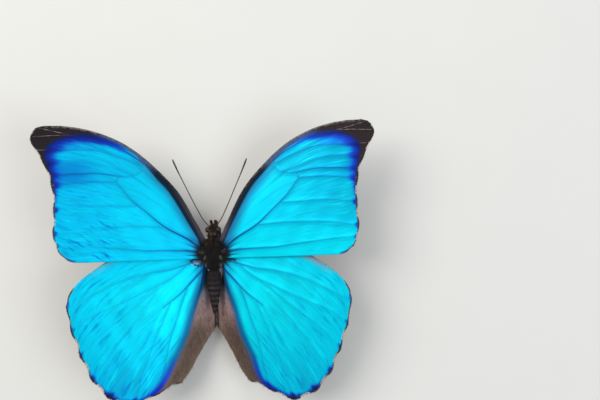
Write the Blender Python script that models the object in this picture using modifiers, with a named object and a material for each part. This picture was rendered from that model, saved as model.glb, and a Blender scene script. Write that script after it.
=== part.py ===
"""Blue morpho butterfly, life size, standing on its four walking legs with its wings spread.

Lengths are in millimetres until a mesh is made. The body lies along Y with the head at +Y, its
back faces +Z, the floor is z = 0, and each wing is described by its distance out from the body's
midline and its distance forward, measured on the flat wing.
"""

import math

import bmesh
import bpy
import numpy as np
from mathutils import Vector

MM = 0.001
GAP = 0.3

# Body sections from front to back: position along the body, half width, half height, centre height.
HEAD = [(11.2, 0.0, 0.0, 10.3), (10.7, 1.2, 1.2, 10.3), (9.6, 1.9, 2.0, 10.3), (8.2, 2.1, 2.2, 10.4),
        (6.9, 1.8, 1.9, 10.5), (6.35, 1.1, 1.1, 10.5), (6.3, 0.0, 0.0, 10.5)]
THORAX = [(6.0, 0.0, 0.0, 10.5), (5.8, 1.5, 1.5, 10.5), (4.0, 2.8, 2.9, 10.6), (0.6, 3.65, 3.4, 10.6),
          (-2.8, 3.5, 3.2, 10.5), (-4.7, 2.6, 2.3, 10.4), (-5.2, 0.0, 0.0, 10.3)]
ABDOMEN = [(-5.5, 0.0, 0.0, 10.3), (-5.7, 1.7, 1.6, 10.3), (-7.6, 2.9, 2.65, 10.2), (-11.0, 2.7, 2.5, 10.1),
           (-14.6, 2.25, 2.15, 9.9), (-18.2, 1.65, 1.6, 9.7), (-21.0, 0.9, 0.9, 9.6), (-22.3, 0.0, 0.0, 9.5)]

EYE_RADIUS = 1.15
EYE_PLACE = (1.78, 8.9, 10.6)

# Wing edges as points (out, forward): the leading edge and the inner edge start at the body, and
# the outer margin runs from the inner corner to the tip.
FOREWING = {
    "leading": [(1.8, 3.8), (3.3, 6.8), (6.0, 11.9), (12.5, 22.9), (21.6, 32.2), (29.2, 37.9),
                (36.2, 41.3), (43.3, 43.3), (50.3, 44.1), (55.0, 44.0)],
    "inner": [(1.8, -1.2), (20.0, -1.2), (38.0, -1.1), (47.0, -0.8), (50.4, 1.4)],
    "outer": [(50.4, 1.4), (52.2, 4.6), (52.8, 9.5), (52.6, 18.0), (53.4, 25.5), (55.7, 32.0), (59.0, 38.2),
              (59.3, 40.8), (58.0, 43.0), (55.0, 44.0)],
    "steps": 11,
    "lobes": 6,
    "scallop": 0.5,
    "root_height": 12.0,
    "arch": 0.9,
    "droop": 0.7,
}
HINDWING = {
    "leading": [(2.0, 0.4), (12.0, 3.2), (24.0, 3.4), (33.0, 1.0), (40.0, -2.9), (45.5, -7.0),
                (48.7, -11.0), (49.6, -14.6)],
    "inner": [(2.0, -4.2), (2.8, -5.7), (2.4, -7.2), (2.0, -9.2), (1.4, -12.4), (0.5, -16.0), (0.18, -19.0),
              (0.15, -22.0), (0.15, -25.0), (0.25, -27.0), (2.4, -30.2), (6.4, -36.4), (9.1, -41.2),
              (12.0, -45.0)],
    "outer": [(12.0, -45.0), (19.5, -47.5), (28.5, -50.6), (36.6, -46.9), (42.0, -40.0), (45.5, -31.6),
              (48.2, -23.0), (49.6, -14.6)],
    "steps": 13,
    "lobes": 7,
    "scallop": 0.9,
    "root_height": 10.8,
    "arch": 0.6,
    "droop": 0.5,
}
HINGE_OUT = 3.5
WING_THICKNESS = 0.6
QUADS_PER_LOBE = 4

# How far each wing is raised above level and swept forward, in degrees.
WING_POSE = {
    ("forewing", -1): (22.0, 0.7),
    ("forewing", 1): (15.5, 2.0),
    ("hindwing", -1): (21.5, 0.0),
    ("hindwing", 1): (13.0, 0.0),
}

# The hindwing's inner flap folds down around the abdomen. Along the body: where the fold starts and
# where the wing's inner edge is, measured out from the midline, and how much of the full depth it
# reaches.
FOLD_START = [(0.0, 3.4), (-7.0, 4.3), (-10.0, 4.9), (-13.5, 5.8), (-19.0, 7.7), (-24.0, 8.9),
              (-30.0, 10.9), (-36.0, 12.8), (-45.5, 16.8), (-52.0, 19.0)]
FOLD_EDGE = [(-6.0, 1.7), (-12.0, 1.2), (-16.0, 0.25), (-27.0, 0.25), (-30.2, 2.4), (-36.4, 6.4),
             (-41.2, 9.1), (-45.0, 12.0)]
FOLD_DEPTH = [(-3.0, 0.0), (-6.0, 1.0), (-25.0, 1.0), (-32.0, 0.7), (-40.0, 0.3), (-46.0, 0.1)]
FOLD_HEIGHT = 4.6

# Leg points (out, forward, up) from the body to the last tarsal joint, with the tube's half width.
LEG_ROUTES = {
    "foreleg": [(1.0, 3.6, 8.6, 0.5), (1.5, 4.4, 7.2, 0.45), (1.9, 6.6, 5.9, 0.4), (1.7, 8.0, 6.1, 0.35),
                (1.2, 9.0, 6.7, 0.3)],
    "midleg": [(1.2, 0.6, 8.8, 0.7), (2.2, 1.2, 7.0, 0.62), (4.8, 3.2, 8.3, 0.55), (7.4, 4.9, 9.2, 0.48),
               (9.4, 6.1, 5.2, 0.4), (11.2, 7.2, 1.0, 0.35), (11.9, 7.5, 0.24, 0.32), (14.0, 8.3, 0.22, 0.3),
               (16.0, 8.9, 0.22, 0.28)],
    "hindleg": [(1.2, -2.4, 8.8, 0.7), (2.2, -3.2, 6.9, 0.62), (5.0, -5.6, 7.6, 0.55), (8.0, -8.0, 8.4, 0.48),
                (10.0, -10.4, 4.6, 0.4), (11.6, -12.6, 1.0, 0.35), (12.1, -13.2, 0.24, 0.32),
                (13.8, -14.8, 0.22, 0.3), (15.4, -16.2, 0.22, 0.28)],
}
ANTENNA_ROUTE = [(0.6, 9.4, 11.4, 0.27), (1.7, 10.8, 12.3, 0.27), (3.4, 13.0, 13.0, 0.27), (5.7, 17.6, 13.9, 0.27),
                 (8.4, 23.5, 15.0, 0.27), (11.0, 29.2, 15.9, 0.3), (12.2, 32.0, 16.3, 0.42), (13.0, 34.0, 16.5, 0.34)]
PALP_ROUTE = [(0.95, 9.2, 8.6, 0.45), (1.0, 10.5, 7.9, 0.48), (0.98, 11.5, 8.6, 0.46), (0.9, 11.9, 9.8, 0.40),
              (0.78, 11.95, 11.2, 0.28)]
PROBOSCIS_CENTRE = (10.9, 6.3)
PROBOSCIS_OUTER = 1.55
PROBOSCIS_PITCH = 0.8
PROBOSCIS_TURNS = 1.35
PROBOSCIS_THICKNESS = 0.52

COLOURS = {
    "wing": ((0.01, 0.40, 0.80), 0.35, 0.5),
    "body": ((0.030, 0.024, 0.022), 0.8, 0.0),
    "eye": ((0.055, 0.022, 0.014), 0.15, 0.0),
    "leg": ((0.075, 0.045, 0.030), 0.6, 0.0),
}


def clear_scene():
    """Remove every object, so that the script can be run again in the same file."""
    for thing in list(bpy.data.objects):
        bpy.data.objects.remove(thing, do_unlink=True)


def make_material(name, colour, roughness, metallic):
    """A plain Principled material."""
    material = bpy.data.materials.new(name)
    material.use_nodes = True
    shader = material.node_tree.nodes["Principled BSDF"]
    shader.inputs["Base Color"].default_value = (*colour, 1.0)
    shader.inputs["Roughness"].default_value = roughness
    shader.inputs["Metallic"].default_value = metallic
    return material


def smooth_curve(points, count):
    """Points spaced evenly along a smooth curve that passes through the given ones."""
    knots = np.array(points, dtype=float)
    before = 2.0 * knots[0] - knots[1]
    after = 2.0 * knots[-1] - knots[-2]
    padded = np.vstack([before, knots, after])
    fine = []
    for i in range(len(knots) - 1):
        p0, p1, p2, p3 = padded[i:i + 4]
        for step in range(24):
            t = step / 24.0
            bend = 2.0 * p0 - 5.0 * p1 + 4.0 * p2 - p3
            twist = 3.0 * p1 - p0 - 3.0 * p2 + p3
            fine.append(0.5 * (2.0 * p1 + (p2 - p0) * t + bend * t * t + twist * t ** 3))
    fine.append(knots[-1])
    fine = np.array(fine)
    lengths = np.linalg.norm(np.diff(fine, axis=0), axis=1)
    travelled = np.concatenate([[0.0], np.cumsum(lengths)])
    wanted = np.linspace(0.0, travelled[-1], count)
    return np.column_stack([np.interp(wanted, travelled, column) for column in fine.T])


def from_table(table, place):
    """The value a table of (place, value) rows gives at one place."""
    rows = sorted(table)
    return float(np.interp(place, [row[0] for row in rows], [row[1] for row in rows]))


def smooth_step(amount):
    """An S-shaped ramp from 0 to 1."""
    amount = min(max(amount, 0.0), 1.0)
    return amount * amount * (3.0 - 2.0 * amount)


def add_object(name, mesh, collection, material, parent):
    """Put a mesh in the collection under the parent empty."""
    thing = bpy.data.objects.new(name, mesh)
    mesh.materials.append(material)
    collection.objects.link(thing)
    thing.parent = parent
    return thing


def mesh_from_bmesh(name, bm):
    """Turn a bmesh measured in millimetres into a smooth-shaded mesh in metres."""
    bmesh.ops.scale(bm, vec=(MM, MM, MM), verts=bm.verts)
    bmesh.ops.recalc_face_normals(bm, faces=bm.faces)
    mesh = bpy.data.meshes.new(name)
    bm.to_mesh(mesh)
    bm.free()
    mesh.shade_smooth()
    return mesh


def body_mesh(name, sections, around, along, grow=0.0):
    """A rounded body part: a sphere whose rings take the place and size of the sections."""
    rings = smooth_curve(sections, along + 1)
    bm = bmesh.new()
    bmesh.ops.create_uvsphere(bm, u_segments=around, v_segments=along, radius=1.0)
    for vert in bm.verts:
        latitude = math.asin(min(max(vert.co.z, -1.0), 1.0))
        ring = round((0.5 - latitude / math.pi) * along)
        place, half_width, half_height, centre = rings[ring]
        turn = math.atan2(vert.co.y, vert.co.x)
        middle = (sections[0][0] + sections[-1][0]) / 2.0
        place += math.copysign(grow, place - middle)
        if ring in (0, along):
            vert.co = Vector((0.0, place, centre))
        else:
            vert.co = Vector((
                math.cos(turn) * (half_width + grow),
                place,
                centre + math.sin(turn) * (half_height + grow),
            ))
    return mesh_from_bmesh(name, bm)


def ball_mesh(name, radius):
    """An eyeball with its pole facing out to the side."""
    bm = bmesh.new()
    bmesh.ops.create_uvsphere(bm, u_segments=12, v_segments=8, radius=radius)
    return mesh_from_bmesh(name, bm)


def tube_object(name, route, sides, collection, material, parent):
    """A round tube along points (x, y, z, half width), with closed ends, as one mesh."""
    curve = bpy.data.curves.new(name, "CURVE")
    curve.dimensions = "3D"
    curve.bevel_depth = MM
    curve.bevel_resolution = sides // 2 - 2
    curve.use_fill_caps = True
    spline = curve.splines.new("POLY")
    spline.points.add(len(route) - 1)
    for point, (x, y, z, half_width) in zip(spline.points, route):
        point.co = (x * MM, y * MM, z * MM, 1.0)
        point.radius = half_width
    source = bpy.data.objects.new(name + "_curve", curve)
    collection.objects.link(source)
    bpy.context.view_layer.update()
    depsgraph = bpy.context.evaluated_depsgraph_get()
    mesh = bpy.data.meshes.new_from_object(source.evaluated_get(depsgraph))
    bpy.data.objects.remove(source, do_unlink=True)
    bm = bmesh.new()
    bm.from_mesh(mesh)
    bmesh.ops.remove_doubles(bm, verts=bm.verts, dist=0.00001)
    bmesh.ops.recalc_face_normals(bm, faces=bm.faces)
    bm.to_mesh(mesh)
    bm.free()
    mesh.name = name
    mesh.materials.clear()
    mesh.shade_smooth()
    return add_object(name, mesh, collection, material, parent)


def cut(target, cutter):
    """Take the cutter's shape out of the target."""
    modifier = target.modifiers.new("cut_" + cutter.name, "BOOLEAN")
    modifier.operation = "DIFFERENCE"
    modifier.object = cutter


def wing_grid(wing):
    """Flat wing points by (step out from the root, step along the margin), between its four edges."""
    across = wing["lobes"] * QUADS_PER_LOBE
    along = wing["steps"]
    leading = smooth_curve(wing["leading"], along + 1)
    inner = smooth_curve(wing["inner"], along + 1)
    outer = smooth_curve(wing["outer"], across + 1)
    root = np.linspace(inner[0], leading[0], across + 1)
    grid = np.zeros((along + 1, across + 1, 2))
    for i in range(along + 1):
        u = i / along
        for j in range(across + 1):
            v = j / across
            between_sides = (1.0 - v) * inner[i] + v * leading[i]
            between_ends = (1.0 - u) * root[j] + u * outer[j]
            corners = ((1.0 - u) * ((1.0 - v) * inner[0] + v * leading[0])
                       + u * ((1.0 - v) * inner[-1] + v * leading[-1]))
            grid[i, j] = between_sides + between_ends - corners
            # Between two vein ends the margin dips inward.
            dip = wing["scallop"] * math.sin(math.pi * v * wing["lobes"]) ** 2 * (1.0 - v ** 8)
            inward = grid[i, j] - grid[0, across // 2]
            grid[i, j] -= inward / np.linalg.norm(inward + 1e-9) * dip * u ** 4
    return grid


def fold_down(out, forward, height):
    """Height of the hindwing where its inner flap bends down around the abdomen."""
    start = from_table(FOLD_START, forward)
    edge = from_table(FOLD_EDGE, forward)
    depth = from_table(FOLD_DEPTH, forward) * smooth_step((start - out) / (start - edge))
    return height + (FOLD_HEIGHT - height) * depth


def wing_mesh(name, kind, wing, side):
    """The wing's middle surface, bent and raised as it is held."""
    grid = wing_grid(wing)
    along = grid.shape[0] - 1
    across = grid.shape[1] - 1
    raise_angle, sweep_angle = (math.radians(angle) for angle in WING_POSE[(kind, side)])
    bm = bmesh.new()
    bmesh.ops.create_grid(bm, x_segments=along, y_segments=across, size=0.5)
    for vert in bm.verts:
        i = round((vert.co.x + 0.5) * along)
        j = round((vert.co.y + 0.5) * across)
        u = i / along
        v = j / across
        out, forward = grid[i, j] - (HINGE_OUT, 2.0)
        swept_out = math.cos(sweep_angle) * out - math.sin(sweep_angle) * forward
        swept_forward = math.sin(sweep_angle) * out + math.cos(sweep_angle) * forward
        bulge = wing["arch"] * math.sin(math.pi * v) * math.sin(math.pi * u) - wing["droop"] * u ** 4
        x = HINGE_OUT + swept_out * math.cos(raise_angle) - bulge * math.sin(raise_angle)
        y = 2.0 + swept_forward
        z = wing["root_height"] + swept_out * math.sin(raise_angle) + bulge * math.cos(raise_angle)
        if kind == "hindwing":
            z = fold_down(x, y, z)
        vert.co = Vector((side * x, y, z))
    return mesh_from_bmesh(name, bm)


def main():
    clear_scene()
    scene = bpy.context.scene
    parts = bpy.data.collections.new("blue_morpho")
    cutters = bpy.data.collections.new("cutters")
    scene.collection.children.link(parts)
    scene.collection.children.link(cutters)
    root = bpy.data.objects.new("body_frame", None)
    parts.objects.link(root)
    paint = {name: make_material(name, *look) for name, look in COLOURS.items()}

    # The body's three parts lie one behind the other, a thin gap apart.
    head = add_object("head", body_mesh("head", HEAD, 14, 10), parts, paint["body"], root)
    add_object("thorax", body_mesh("thorax", THORAX, 18, 12), parts, paint["body"], root)
    add_object("abdomen", body_mesh("abdomen", ABDOMEN, 16, 13), parts, paint["body"], root)

    # Grown copies keep the gap where another piece runs into the body.
    head_space = add_object("head_space", body_mesh("head_space", HEAD, 14, 10, GAP), cutters, paint["body"], root)
    thorax_space = add_object("thorax_space", body_mesh("thorax_space", THORAX, 18, 12, GAP), cutters,
                              paint["body"], root)
    bpy.ops.mesh.primitive_cube_add(size=1.0)
    floor_space = bpy.context.object
    floor_space.name = "floor_space"
    floor_space.scale = (0.1, 0.1, 0.01)
    floor_space.location = (0.0, 0.0, -0.005)
    floor_space.parent = root
    for collection in list(floor_space.users_collection):
        collection.objects.unlink(floor_space)
    cutters.objects.link(floor_space)

    for side, word in ((-1, "left"), (1, "right")):
        # The eye sits in a round socket in the side of the head.
        eye = add_object("eye_" + word, ball_mesh("eye_" + word, EYE_RADIUS), parts, paint["eye"], root)
        socket = add_object("socket_" + word, ball_mesh("socket_" + word, EYE_RADIUS + GAP), cutters,
                            paint["body"], root)
        for ball in (eye, socket):
            ball.location = (side * EYE_PLACE[0] * MM, EYE_PLACE[1] * MM, EYE_PLACE[2] * MM)
        cut(head, socket)

        for kind, wing in (("forewing", FOREWING), ("hindwing", HINDWING)):
            name = kind + "_" + word
            blade = add_object(name, wing_mesh(name, kind, wing, side), parts, paint["wing"], root)
            shell = blade.modifiers.new("thickness", "SOLIDIFY")
            shell.thickness = WING_THICKNESS * MM
            shell.offset = 0.0
            shell.use_even_offset = True
            cut(blade, thorax_space)

        for name, route in LEG_ROUTES.items():
            mirrored = [(side * x, y, z, half_width) for x, y, z, half_width in route]
            leg = tube_object(name + "_" + word, mirrored, 8, parts, paint["leg"], root)
            cut(leg, thorax_space)
            if name != "foreleg":
                cut(leg, floor_space)

        feeler = [(side * x, y, z, half_width) for x, y, z, half_width in smooth_curve(ANTENNA_ROUTE, 12)]
        cut(tube_object("antenna_" + word, feeler, 8, parts, paint["leg"], root), head_space)
        palp = [(side * x, y, z, half_width) for x, y, z, half_width in smooth_curve(PALP_ROUTE, 7)]
        cut(tube_object("palp_" + word, palp, 8, parts, paint["body"], root), head_space)

    # The tongue is rolled up under the face as a flat spiral, and its outer end reaches the head.
    forward, up = PROBOSCIS_CENTRE
    coil = [(0.0, 9.6, 9.2, PROBOSCIS_THICKNESS / 2.0)]
    points = round(PROBOSCIS_TURNS * 12)
    for i in range(points + 1):
        turned = PROBOSCIS_TURNS * i / points
        angle = math.radians(140.0) - 2.0 * math.pi * turned
        radius = PROBOSCIS_OUTER - PROBOSCIS_PITCH * turned
        coil.append((0.0, forward + radius * math.cos(angle), up + radius * math.sin(angle),
                     PROBOSCIS_THICKNESS / 2.0))
    cut(tube_object("proboscis", coil, 8, parts, paint["leg"], root), head_space)

    for cutter in cutters.objects:
        cutter.hide_render = True
        cutter.display_type = "WIRE"

    # The finished model stands with the middle of its bounding box over the origin.
    bpy.context.view_layer.update()
    depsgraph = bpy.context.evaluated_depsgraph_get()
    corners = []
    for part in parts.objects:
        if part.type == "MESH":
            mesh = part.evaluated_get(depsgraph).data
            corners.extend(part.matrix_world @ vert.co for vert in mesh.vertices)
    for axis in (0, 1):
        values = [corner[axis] for corner in corners]
        root.location[axis] = -(min(values) + max(values)) / 2.0


main()
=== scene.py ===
import math

import bpy
import numpy as np
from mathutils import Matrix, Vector
from mathutils.bvhtree import BVHTree
from mathutils.geometry import barycentric_transform


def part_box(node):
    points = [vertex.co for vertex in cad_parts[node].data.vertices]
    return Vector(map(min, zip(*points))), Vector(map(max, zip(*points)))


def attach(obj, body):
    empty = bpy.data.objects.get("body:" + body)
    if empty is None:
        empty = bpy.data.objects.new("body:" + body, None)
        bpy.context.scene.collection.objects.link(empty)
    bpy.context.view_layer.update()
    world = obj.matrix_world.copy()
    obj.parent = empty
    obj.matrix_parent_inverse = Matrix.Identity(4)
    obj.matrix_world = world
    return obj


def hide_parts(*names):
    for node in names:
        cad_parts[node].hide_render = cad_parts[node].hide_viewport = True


# Blue morpho, life size. Shapes are worked out in millimetres about the middle of the body (out to
# the animal's right, forward to the head, up from the floor) and moved into the frame at the end.

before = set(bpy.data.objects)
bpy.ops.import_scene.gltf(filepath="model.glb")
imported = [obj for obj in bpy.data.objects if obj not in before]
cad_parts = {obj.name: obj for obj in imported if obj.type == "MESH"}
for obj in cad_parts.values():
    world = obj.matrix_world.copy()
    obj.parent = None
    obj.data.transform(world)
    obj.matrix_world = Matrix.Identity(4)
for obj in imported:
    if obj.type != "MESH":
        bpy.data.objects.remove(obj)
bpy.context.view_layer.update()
scene = bpy.context.scene
mm = 0.001

thoraxMiddle = 0.4  # where the middle of the thorax lies along the body
thoraxLow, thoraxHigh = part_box("thorax")
origin = np.array([
    (thoraxLow[0] + thoraxHigh[0]) / 2,
    (thoraxLow[1] + thoraxHigh[1]) / 2 - thoraxMiddle * mm,
    0.0,
])
sides = (("left", -1), ("right", 1))
mapMargin = 0.02  # left bare round each unwrapped surface


# small helpers: colour, curves, meshes, nodes

def tint(red, green, blue):  # a screen colour, 0 to 255, as the linear colour a shader wants
    steps = np.array([red, green, blue]) / 255.0
    linear = np.where(steps <= 0.04045, steps / 12.92, ((steps + 0.055) / 1.055) ** 2.4)
    return (*linear.tolist(), 1)


def unit(vectors):  # the same directions, each of length one
    return vectors / (np.linalg.norm(vectors, axis=-1, keepdims=True) + 1e-9)


def travel(path):  # how far along a path each of its points lies
    return np.concatenate([[0], np.cumsum(np.linalg.norm(np.diff(path, axis=0), axis=1))])


def smoothCurve(points, count):  # evenly spaced points on a smooth curve through the given ones
    knots = np.array(points, dtype=float)
    padded = np.vstack([2 * knots[0] - knots[1], knots, 2 * knots[-1] - knots[-2]])
    fine = []
    for i in range(len(knots) - 1):
        p0, p1, p2, p3 = padded[i:i + 4]
        for t in np.arange(24) / 24:
            bend = 2 * p0 - 5 * p1 + 4 * p2 - p3
            twist = 3 * p1 - p0 - 3 * p2 + p3
            fine.append(0.5 * (2 * p1 + (p2 - p0) * t + bend * t * t + twist * t ** 3))
    fine = np.array(fine + [knots[-1]])
    travelled = travel(fine)
    wanted = np.linspace(0, travelled[-1], count)
    return np.column_stack([np.interp(wanted, travelled, column) for column in fine.T])


def smoothStep(amount):
    amount = np.clip(amount, 0, 1)
    return amount * amount * (3 - 2 * amount)


def fromTable(table, place):  # reads (place, value) rows at one place or many
    rows = sorted(table)
    return np.interp(place, [row[0] for row in rows], [row[1] for row in rows])


def pathGap(points, path):  # distance to a path, and on which side of it each point lies
    best = np.full(len(points), 1e9)
    side = np.ones(len(points))
    for start, end in zip(path[:-1], path[1:]):
        run = end - start
        along = np.clip((points - start) @ run / (run @ run), 0, 1)
        gap = points - start - along[:, None] * run
        distance = np.hypot(gap[:, 0], gap[:, 1])
        turn = run[0] * (points[:, 1] - start[1]) - run[1] * (points[:, 0] - start[0])
        nearer = distance < best
        side[nearer] = np.sign(turn[nearer])
        best = np.minimum(best, distance)
    return best, side


def pastEdge(points, path, count):  # distance past a curved edge, below zero before it
    gap, turn = pathGap(points, smoothCurve(path, count))
    return gap * turn


def fromRoot(points):  # distance from the wing's root
    return np.hypot(points[:, 0] - 2, points[:, 1] - 0.5)


def addObject(name, data):
    thing = bpy.data.objects.new(name, data)
    scene.collection.objects.link(thing)
    return thing


def plainMesh(name, points, edges, faces, fields=None):  # fields hold one value a point
    mesh = bpy.data.meshes.new(name)
    mesh.from_pydata(np.asarray(points, dtype=float).tolist(), edges, faces)
    for field, values in (fields or {}).items():
        values = np.asarray(values, dtype=np.float32)
        kind, slotName = ("FLOAT", "value") if values.ndim == 1 else ("FLOAT_VECTOR", "vector")
        mesh.attributes.new(field, kind, "POINT").data.foreach_set(slotName, values.ravel())
    return mesh


def addMap(mesh, name, values):  # a pair for each corner, or for each point
    layer = mesh.uv_layers.new(name=name)
    values = np.asarray(values, dtype=np.float32)
    if len(values) != len(mesh.loops):
        corner = np.empty(len(mesh.loops), dtype=np.int32)
        mesh.loops.foreach_get("vertex_index", corner)
        values = values[corner]
    layer.data.foreach_set("uv", values.ravel())


def meshObject(name, points, faces, materials, fields=None, maps=None, faceMaterial=None):
    placed = np.asarray(points, dtype=float) * mm + origin
    mesh = plainMesh(name, placed, [], [list(face) for face in faces], fields)
    for mapName, values in (maps or {}).items():
        addMap(mesh, mapName, values)
    for material in materials:
        mesh.materials.append(material)
    if faceMaterial is not None:
        mesh.polygons.foreach_set("material_index", np.asarray(faceMaterial, dtype=np.int32))
    mesh.shade_smooth()
    mesh.update()
    return addObject(name, mesh)


def gridFaces(rows, columns, start=0, flip=False, wrap=False):
    i, j = np.meshgrid(np.arange(rows - 1), np.arange(columns if wrap else columns - 1), indexing="ij")
    i, j = i.ravel(), j.ravel()
    k = (j + 1) % columns
    quads = start + np.column_stack([i * columns + j, (i + 1) * columns + j, (i + 1) * columns + k,
                                     i * columns + k])
    return quads[:, ::-1] if flip else quads


def closedTube(rows, columns, heights):  # faces and unwrap of rings of points with a tip at each end
    first, last, start = rows * columns, rows * columns + 1, (rows - 1) * columns
    i, j = (part.ravel() for part in np.meshgrid(np.arange(rows - 1), np.arange(columns), indexing="ij"))
    k, same = np.arange(columns), np.ones(columns, dtype=int)
    ahead = (k + 1) % columns
    faces = gridFaces(rows, columns, wrap=True, flip=True).tolist()
    faces += np.column_stack([first * same, ahead, k]).tolist()
    faces += np.column_stack([last * same, start + k, start + ahead]).tolist()
    across = [[j + 1, j + 1, j, j], [k + 0.5, k + 1, k], [k + 0.5, k, k + 1]]
    level = [[i + 1, i + 2, i + 2, i + 1], [0 * same, same, same],
             [(rows + 1) * same, rows * same, rows * same]]
    across, level = (np.concatenate([np.column_stack(part).ravel() for part in parts])
                     for parts in (across, level))
    across = mapMargin + (1 - 2 * mapMargin) * across / columns
    return faces, np.column_stack([across, np.asarray(heights)[level]])


bench = {"tree": None}  # the node tree that is being built


def join(outSocket, inSocket):
    bench["tree"].links.new(outSocket, inSocket)


def addNode(kind, inputs=None, **settings):
    node = bench["tree"].nodes.new(kind)
    for setting, value in settings.items():
        setattr(node, setting, value)
    for key, value in (inputs or {}).items():
        if isinstance(value, bpy.types.NodeSocket):
            join(value, node.inputs[key])
        else:
            node.inputs[key].default_value = value
    return node


def calc(operation, a, b=0, clamp=False):
    return addNode("ShaderNodeMath", {0: a, 1: b}, operation=operation, use_clamp=clamp).outputs[0]


def remap(value, low, high, toLow=0, toHigh=1, kind="LINEAR"):
    inputs = {"Value": value, "From Min": low, "From Max": high, "To Min": toLow, "To Max": toHigh}
    return addNode("ShaderNodeMapRange", inputs, interpolation_type=kind).outputs[0]


def ease(value, low, high, toLow=0, toHigh=1):  # a remap with soft ends
    return remap(value, low, high, toLow, toHigh, "SMOOTHSTEP")


def mixColour(factor, a, b, blend="MIX"):
    node = addNode("ShaderNodeMix", {0: factor, 6: a, 7: b}, data_type="RGBA", blend_type=blend)
    return node.outputs[2]


def plus(a, b, clamp=False):
    return calc("ADD", a, b, clamp)


def minus(a, b):
    return calc("SUBTRACT", a, b)


def times(*values):
    total = values[0]
    for value in values[1:]:
        total = calc("MULTIPLY", total, value)
    return total


def layOver(base, colour, *amounts):  # a colour over a base, as strongly as the amounts say
    return mixColour(times(*amounts), base, colour)


def filtered(colour, red, green, blue):  # seen through a tinted glass
    return mixColour(1, colour, tint(red, green, blue), blend="MULTIPLY")


def colourRamp(factor, stops):
    node = addNode("ShaderNodeValToRGB", {"Fac": factor})
    spots = node.color_ramp.elements
    while len(spots) < len(stops):
        spots.new(0.5)
    for spot, (place, colour) in zip(spots, stops):
        spot.position = place
        spot.color = colour
    return node.outputs[0]


def readValue(name):
    return addNode("ShaderNodeAttribute", attribute_name=name).outputs["Fac"]


def bodyPlace():  # the place on the body, in mm, that a surface or a hair's root keeps
    return addNode("ShaderNodeAttribute", attribute_name="bodyPlace").outputs["Vector"]


def readMap(name):
    return addNode("ShaderNodeUVMap", uv_map=name).outputs[0]


def stretched(vector, x, y, z=1):
    return addNode("ShaderNodeMapping", {"Vector": vector, "Scale": (x, y, z)}).outputs[0]


def vectorOf(x, y, z):
    return addNode("ShaderNodeCombineXYZ", {0: x, 1: y, 2: z}).outputs[0]


def partsOf(vector):
    return addNode("ShaderNodeSeparateXYZ", {0: vector}).outputs


def distance(vector, place):
    return addNode("ShaderNodeVectorMath", {0: vector, 1: place}, operation="DISTANCE").outputs[1]


def cells(vector, scale, randomness=1):  # distance to the middle of the nearest cell
    inputs = {"Vector": vector, "Scale": scale, "Randomness": randomness}
    return addNode("ShaderNodeTexVoronoi", inputs).outputs["Distance"]


def noise(vector, scale, detail=3, roughness=0.55):
    inputs = {"Vector": vector, "Scale": scale, "Detail": detail, "Roughness": roughness}
    return addNode("ShaderNodeTexNoise", inputs).outputs["Fac"]


def newMaterial(name, **finish):  # the shader of a new material, with its even values set on it
    material = bpy.data.materials.new(name)
    material.use_nodes = True
    bench["tree"] = material.node_tree
    shader = material.node_tree.nodes["Principled BSDF"]
    for key, value in finish.items():
        shader.inputs[key].default_value = value
    return material, shader


def dress(shader, colour, rough):
    join(colour, shader.inputs["Base Color"])
    join(rough, shader.inputs["Roughness"])


def bumpOn(shader, strength, reach, height):
    bump = addNode("ShaderNodeBump", {"Strength": strength, "Distance": reach, "Height": height})
    join(bump.outputs[0], shader.inputs["Normal"])


# camera, light and floor

stageLook = {
    "cameraOut": 31.457, "cameraForward": 19.042, "cameraHeight": 220.8,  # mm from the body's middle
    "turn": -0.9708,  # the animal's head leans a little to the left
    "lens": 35, "sensor": 36, "nearest": 0.005,
    "floorSize": 3, "floorColour": tint(222, 221, 216), "floorGrain": 40,
    "worldColour": tint(236, 240, 246), "worldStrength": 0.46,
    # name: place in metres, size, watts, colour
    "lights": {
        "softboxLeft": ((-0.42, 0.3, 0.62), 0.55, 3.9, tint(255, 251, 244)),
        "softboxRight": ((0.5, -0.12, 0.55), 0.45, 1.9, tint(242, 248, 255)),
        "softboxBack": ((0.06, 0.62, 0.42), 0.4, 1.3, tint(250, 252, 255)),
    },
}


def makeStage(look):
    cameraData = bpy.data.cameras.new("camera")
    cameraData.lens = look["lens"]
    cameraData.sensor_width = look["sensor"]
    cameraData.clip_start = look["nearest"]
    camera = addObject("camera", cameraData)
    place = np.array([look["cameraOut"], look["cameraForward"], look["cameraHeight"]]) * mm + origin
    camera.location = place.tolist()
    camera.rotation_euler = (0, 0, math.radians(look["turn"]))
    scene.camera = camera
    scene.view_settings.view_transform = "Standard"

    for name, (spot, size, watts, colour) in look["lights"].items():
        lamp = bpy.data.lights.new(name, "AREA")
        lamp.shape = "DISK"
        lamp.size = size
        lamp.energy = watts
        lamp.color = colour[:3]
        holder = addObject(name, lamp)
        holder.location = spot
        holder.rotation_euler = (-Vector(spot)).to_track_quat("-Z", "Y").to_euler()

    world = bpy.data.worlds.new("studio")
    world.use_nodes = True
    sky = world.node_tree.nodes["Background"]
    sky.inputs["Color"].default_value = look["worldColour"]
    sky.inputs["Strength"].default_value = look["worldStrength"]
    scene.world = world

    material, shader = newMaterial("paleFloor", Roughness=0.85)
    spots = addNode("ShaderNodeTexCoord").outputs["Object"]
    grey = look["floorColour"]
    darker = (*(0.97 * value for value in grey[:3]), 1)
    colour = mixColour(noise(spots, look["floorGrain"]), darker, grey)
    join(colour, shader.inputs["Base Color"])
    half = look["floorSize"] / 2
    corners = [(-half, -half, 0), (half, -half, 0), (half, half, 0), (-half, half, 0)]
    floor = addObject("floor", plainMesh("floor", corners, [], [(0, 1, 2, 3)]))
    floor.data.materials.append(material)
    print("stage: camera,", len(look["lights"]), "lights and the floor")


# wings: outlines are (out, forward) on the flat wing, as the solids have them but for the
# hindwing's inner edge

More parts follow.
